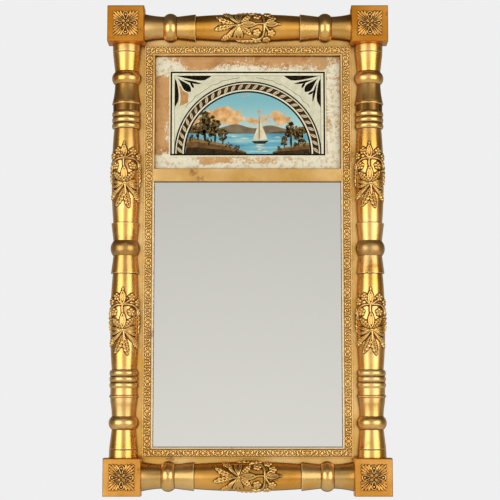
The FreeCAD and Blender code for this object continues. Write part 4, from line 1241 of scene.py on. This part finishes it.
PENCIL_WAVES = (31, 47)
PENCIL_TURNS = (math.radians(37), math.radians(84))

# The lake view, in shares of its radius: across, then up
HORIZON_SHARE = 0.33
FAR_HILL_SHARES = ((-1.0, 0.40), (-0.74, 0.49), (-0.5, 0.40), (-0.2, 0.50), (0.1, 0.40), (0.36, 0.48),
                   (0.64, 0.39), (1.0, 0.46))
SHORE_SHARES = (
    ((-1.0, 0.48), (-0.7, 0.43), (-0.45, 0.39), (-0.3, 0.35), (-0.14, 0.33)),
    ((0.3, 0.33), (0.45, 0.36), (0.62, 0.37), (0.8, 0.42), (1.0, 0.47)),
)
BANK_SHARES = (
    ((-1.0, 0.24), (-0.8, 0.25), (-0.6, 0.20), (-0.4, 0.17), (-0.22, 0.10), (-0.02, 0.03)),
    ((0.4, 0.03), (0.6, 0.11), (0.72, 0.12), (0.86, 0.17), (1.0, 0.18)),
)
TREE_SHARES = ((-0.68, 0.20, 0.48), (-0.53, 0.18, 0.38), (-0.40, 0.15, 0.26), (-0.80, 0.22, 0.28),
               (0.70, 0.11, 0.40), (0.82, 0.13, 0.30), (0.59, 0.09, 0.20))
BUSH_SHARES = ((-0.9, 0.25), (-0.62, 0.20), (-0.30, 0.125), (-0.18, 0.09), (0.5, 0.07), (0.78, 0.15),
               (0.9, 0.18))
HULL_SHARES = ((0.06, 0.205), (0.34, 0.215), (0.28, 0.165), (0.11, 0.165))
SAIL_SHARES = (((0.19, 0.225), (0.19, 0.56), (0.32, 0.235)), ((0.175, 0.225), (0.178, 0.50), (0.08, 0.23)))
MAST_SHARES = ((0.184, 0.20), (0.184, 0.40), (0.184, 0.60))
GLINT_SHARES = ((0.20, 0.145, 0.15), (0.17, 0.12, 0.10), (0.22, 0.095, 0.13), (0.19, 0.07, 0.07),
                (-0.05, 0.25, 0.14), (0.48, 0.27, 0.10), (0.28, 0.04, 0.10), (-0.22, 0.28, 0.10))
GLINT_RISE_SHARE = 0.004
LAND_SOFT_STEPS = 6


def arch_land(shares, base, centre, radius, rise=1.0):
    """The outline of land under a soft ridge line, kept inside the round-headed view."""
    across = np.linspace(shares[0][0], shares[-1][0], 81)
    ridge = np.pad(np.interp(across, *np.array(shares).T), LAND_SOFT_STEPS, mode="edge")
    ridge = base + rise * (np.convolve(ridge, smoothing(LAND_SOFT_STEPS), "valid") - base)
    round_head = np.sqrt(np.maximum(1 - np.square(across), 0))
    top = np.maximum(np.minimum(ridge, round_head), base)
    outline = np.vstack((np.stack((across, top), -1), [(across[-1], base), (across[0], base)]))
    reach = math.sqrt(1 - base * base)
    outline[:, 0] = np.clip(outline[:, 0], -reach, reach)
    return outline * radius + centre


def paint_bush(film, foot, width, count, layer, paints, chance):
    """A heap of leafy dabs, the lighter ones smaller, higher and nearer the eye."""
    for step, paint in enumerate(paints):
        for _ in range(count):
            turn = chance.uniform(0, 2 * math.pi)
            reach = width / 2 * math.sqrt(chance.uniform())
            spot = (foot[0] + reach * math.cos(turn), foot[1] + reach * math.sin(turn) + 0.07 * width * step)
            film.shape(blob(spot, width * (0.17 - 0.05 * step), chance), layer + step, paint)


def paint_tree(film, foot, height, layer, paints, chance):
    lean = chance.uniform(-0.06, 0.06) * height
    trunk = (foot, (foot[0] + lean, foot[1] + 0.3 * height), (foot[0], foot[1] + 0.7 * height))
    film.shape(blade(trunk, 0.09 * height, 0.3), layer, paints[0])
    for share, width in ((0.50, 0.52), (0.68, 0.5), (0.84, 0.32)):
        crown = (foot[0] + chance.uniform(-0.05, 0.05) * height, foot[1] + share * height)
        paint_bush(film, crown, width * height, 9, layer, paints, chance)


def paint_view(film, centre, radius, layer, paints):
    """A quiet lake with hills, two wooded banks and a small sailing boat."""
    chance = np.random.default_rng(12)
    leafy = [paints[name] for name in ("shade", "leaf", "lit_leaf")]

    def at(shares):
        return np.array(shares) * radius + centre

    def land(shares, base, rise=1.0):
        return arch_land(shares, base, centre, radius, rise)

    film.shape(half_disc(centre, radius), layer, sky_paint("paint_sky", centre[1], centre[1] + radius))
    film.shape(land(FAR_HILL_SHARES, HORIZON_SHARE), layer + 1, paints["hill"])
    for shares in SHORE_SHARES:
        film.shape(land(shares, HORIZON_SHARE), layer + 2, paints["shore"])
    lake = ((-1.0, HORIZON_SHARE), (1.0, HORIZON_SHARE))
    film.shape(land(lake, 0.0), layer + 3, water_paint("paint_water"))
    for across, up, length in GLINT_SHARES:
        ends = ((across - length / 2, up), (across, up + GLINT_RISE_SHARE), (across + length / 2, up))
        film.shape(blade(at(ends), 0.014 * radius), layer + 4, paints["sail"])
    for shares in BANK_SHARES:
        film.shape(land(shares, 0.0), layer + 4, paints["grass"])
        film.shape(land(shares, 0.0, 0.8), layer + 5, paints["earth"])
        film.shape(land(shares, 0.0, 0.42), layer + 6, paints["shade"])
    film.shape(at(HULL_SHARES), layer + 5, paints["shade"])
    film.shape(blade(at(MAST_SHARES), 0.016 * radius), layer + 5, paints["shade"])
    for shares in SAIL_SHARES:
        film.shape(at(shares), layer + 6, paints["sail"])
    for spot in BUSH_SHARES:
        paint_bush(film, at(spot), 0.1 * radius, 7, layer + 7, leafy, chance)
    for across, up, height in TREE_SHARES:
        paint_tree(film, at((across, up)), height * radius, layer + 7, leafy, chance)


def paint_fan(film, corner, way, layer, paints, flaked):
    """The corner fan: a dark wedge along each edge, a drop between, and small strokes or a flaked patch."""

    def at(shares):
        return np.array(shares) * FAN_REACH * (way, -1) + corner

    def stroke(shares, width_share, belly, step, name):
        film.shape(blade(at(shares), width_share * FAN_REACH, belly), layer + step, paints[name])

    if flaked:
        film.shape(ragged(at(FAN_PATCH_SHARES), np.random.default_rng(5)), layer, paints["tan"])
    for shares in (FAN_TOP_SHARES, FAN_SIDE_SHARES):
        film.shape(at(shares), layer + 1, paints["black"])
    for shares in FAN_RIM_SHARES:
        stroke(shares, 0.045, 0.6, 2, "cream")
    stroke(FAN_DROP_SHARES, 0.26, 0.74, 2, "cream")
    stroke(FAN_DROP_SHARES, 0.19, 0.74, 3, "black")
    for shares in FAN_STROKE_SHARES:
        stroke(shares, 0.065, 0.6, 3, "black")
        if not flaked:
            stroke([pair[::-1] for pair in shares], 0.065, 0.6, 3, "black")


def paint_arch(film, centre, radius, layer, paints):
    """The round-headed rule, with a rope of slanted strands between its lines."""
    for step, name in zip(ARCH_RULES, ("black", "cream", "brown", "cream", "black")):
        film.shape(half_disc(centre, radius - step), layer, paints[name])
        layer += 2 if name == "brown" else 1
    inner, outer = radius - ARCH_RULES[3], radius - ARCH_RULES[2]
    for angle in (np.arange(ROPE_STRANDS) + 0.5) * math.pi / ROPE_STRANDS:
        points = []
        for share in (0.04, 0.5, 0.96):
            reach = inner + (outer - inner) * share
            turn = angle - (share - 0.5) * 2 * ROPE_LEAN
            points.append((centre[0] + reach * math.cos(turn), centre[1] + max(0, reach * math.sin(turn))))
        film.shape(blade(points, 0.46 * (outer - inner)), layer - 3, paints["strand"])
        film.shape(blade(points, 0.1 * (outer - inner)), layer - 2, paints["core"])
    return layer, radius - ARCH_RULES[5]


def make_painting():
    low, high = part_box("reverse_painting")
    film = Film(high[1])
    paints = {name: pigment("paint_" + name, *made) for name, made in PAINTS.items()}
    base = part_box("divider_bar")[1][2] + PANEL_BASE
    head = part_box("moulding_top")[0][2] - PANEL_TOP
    half = SIGHT_HALF_WIDTH - PANEL_SIDE
    pane = ((low[0], low[2]), (high[0], high[2]))
    film.shape(rectangle(*pane), 0, border_paint("paint_border", *pane, half))
    halo = np.array(rectangle((-half - HALO, base - HALO), (half + HALO, head + HALO)))
    film.shape(ragged(halo, np.random.default_rng(8)), 1, paints["cream"])
    film.shape(rectangle((-half, base), (half, head)), 2, paints["black"])
    inset = 0.0
    for layer, step, name in ((3, RULE, "cream"), (4, MARGIN, "brown"), (5, HAIRLINE, "ground")):
        inset += step
        film.shape(rectangle((inset - half, base + RULE), (half - inset, head - inset)), layer, paints[name])
    for way in (-1, 1):
        corner = np.array((way * (half - inset), head - inset))
        paint_fan(film, corner, -way, 7, paints, flaked=way < 0)
    centre = np.array((0.0, base + RULE))
    arch = half - RULE - MARGIN + HAIRLINE
    pencil = arch + PENCIL_OFF
    for turns in (PENCIL_TURNS, [math.pi - turn for turn in PENCIL_TURNS]):
        film.shape(arc_band(centre, pencil, pencil + PENCIL_WIDTH, turns), 6, paints["brown"])
    layer, radius = paint_arch(film, centre, arch, 6, paints)
    paint_view(film, centre, radius, layer, paints)
    film.build("reverse_painting", "paint_film")


# Finishes of the CAD nodes

def dress(finish, *nodes):
    for node in nodes:
        mesh = NODES[node].data
        mesh.materials.clear()
        mesh.materials.append(finish)


def make_finishes():
    wood = gilded("gilded_wood", 0.25, 0.0)
    moulded = gilded("gilded_moulding", 0.25, 0.0, arris=ARRIS, lip=True)
    matte = gilded("matte_gilding", 0.34, 0.0, MATTE_BRIGHT, MATTE_DEEP, arris=ARRIS)
    dark = gilded("shaded_block_gilding", 0.34, 0.0, SHADED_BLOCK_BRIGHT, SHADED_BLOCK_DEEP, arris=ARRIS)
    cast = gilded("gilded_composition", 0.24, 0.14, CAST_BRIGHT, CAST_DEEP)
    iron = metal("iron", tint(96, 88, 80), tint(64, 48, 38), 0.5, shine=0.85)
    brass = metal("brass", tint(196, 158, 84), tint(142, 104, 48), 0.3)
    make_balusters(wood, cast)
    make_rosettes(cast)
    make_strips(cast)
    make_painting()
    dress(moulded, "divider_bar", *["moulding_" + edge for edge in EDGES])
    # The top blocks wear the darker copy of the block gilding, as painted shade
    dress(dark, *["corner_block_top_" + side for side in SIDES])
    dress(matte, *["corner_block_bottom_" + side for side in SIDES])
    dress(frame_board("stile_finish", 2), "stile_left", "stile_right")
    dress(frame_board("rail_finish", 0), "top_rail", "bottom_rail")
    dress(pine("backboard_pine", 2), "backboard_upper", "backboard_lower")
    dress(pine("block_pine", 2, tint(196, 156, 106), tint(150, 110, 66)), "glazing_blocks", "frame_pegs")
    dress(iron, "backboard_nails", "baluster_screws", "block_screws", "hanger_screws")
    dress(brass, *["hanger_plate_" + side for side in SIDES], *["hanger_ring_" + side for side in SIDES])
    dress(looking_glass("looking_glass"), "mirror_plate")
    dress(clear_glass("clear_glass"), "tablet_glass")


# Camera, light and floor

FLOOR_DROP = 1.6
FLOOR_SPAN = 12.0
LAMP_DISTANCE = 2.6
LAMP_TURN = math.radians(41)
LAMP_RISE = math.radians(2)
LAMP_SIZE = (2.0, 2.0)
LAMP_RADIANCE = 2.1
HIGH_LAMP_RISE = math.radians(36)
HIGH_LAMP_SIZE = (1.8, 1.1)
HIGH_LAMP_RADIANCE = 0.4
BACKDROP = tint(239, 239, 239)
ROOM_LIGHT = (0.5, 0.5, 0.5, 1.0)
ROOM_SHADE = (0.15, 0.095, 0.04, 1.0)


def make_camera():
    lens = bpy.data.cameras.new("camera")
    lens.lens = lens.sensor_width * FOCAL_PIXELS / IMAGE_PIXELS
    camera = show("camera", lens)
    camera.location = EYE
    camera.rotation_euler = (math.pi / 2 + EYE_TILT, 0, 0)
    bpy.context.scene.camera = camera


def make_lamp(name, turn, rise, size, radiance):
    lamp = bpy.data.lights.new(name, "AREA")
    lamp.shape = "RECTANGLE"
    lamp.size, lamp.size_y = size
    lamp.energy = radiance * math.pi * size[0] * size[1]
    shown = show(name, lamp)
    away = Vector((math.sin(turn) * math.cos(rise), -math.cos(turn) * math.cos(rise), math.sin(rise)))
    shown.location = away * LAMP_DISTANCE
    shown.rotation_euler = away.to_track_quat("Z", "Y").to_euler()
    shown.visible_camera = False


def make_floor():
    made = Finish("floor")
    made.set(Base_Color=made.ramp(made.noise(3), (0.3, tint(212, 211, 209)), (0.7, tint(220, 219, 217))),
             Roughness=0.7)
    mesh = bpy.data.meshes.new("floor")
    half = FLOOR_SPAN / 2
    corners = [(across, along, -FLOOR_DROP) for across, along in rectangle((-half, -half), (half, half))]
    mesh.from_pydata(corners, [], [(0, 1, 2, 3)])
    mesh.materials.append(made.material)
    floor = show("floor", mesh)


def make_world():
    """A pale backdrop to the eye, a plain even light, and a studio with dark sides for gloss to mirror."""
    world = bpy.data.worlds.new("studio")
    bpy.context.scene.world = world
    world.use_nodes = True
    world.cycles.sampling_method = "NONE"
    made = Nodes(world.node_tree)
    made.tree.nodes.clear()
    way = made.parts(made.add("ShaderNodeTexCoord").outputs["Generated"])
    ahead = made.math("MULTIPLY_ADD", way["Y"], 0.5, 0.5)
    up = made.math("MULTIPLY_ADD", way["Z"], 0.5, 0.5)
    front = made.ramp(ahead, (0.0, 0.82), (0.06, 0.5), (0.22, ROOM_SHADE), (0.7, ROOM_SHADE), (0.92, 0.7))
    level = made.ramp(up, (0.3, 0.7), (0.485, 0.95), (0.575, 0.78), (0.63, 0.5), (0.75, ROOM_SHADE))
    room = made.blend(1.0, front, level, "MULTIPLY")
    path = made.add("ShaderNodeLightPath").outputs
    glossy = made.blend(path["Is Glossy Ray"], ROOM_LIGHT, room)
    seen = made.blend(path["Is Camera Ray"], glossy, BACKDROP)
    sky = made.add("ShaderNodeBackground", {"Color": seen})
    made.add("ShaderNodeOutputWorld", {"Surface": sky.outputs["Background"]})


make_finishes()
make_camera()
make_lamp("lamp_left", -LAMP_TURN, LAMP_RISE, LAMP_SIZE, LAMP_RADIANCE)
make_lamp("lamp_right", LAMP_TURN, LAMP_RISE, LAMP_SIZE, LAMP_RADIANCE)
make_lamp("lamp_high", 0.0, HIGH_LAMP_RISE, HIGH_LAMP_SIZE, HIGH_LAMP_RADIANCE)
make_floor()
make_world()
bpy.context.scene.view_settings.view_transform = "Standard"
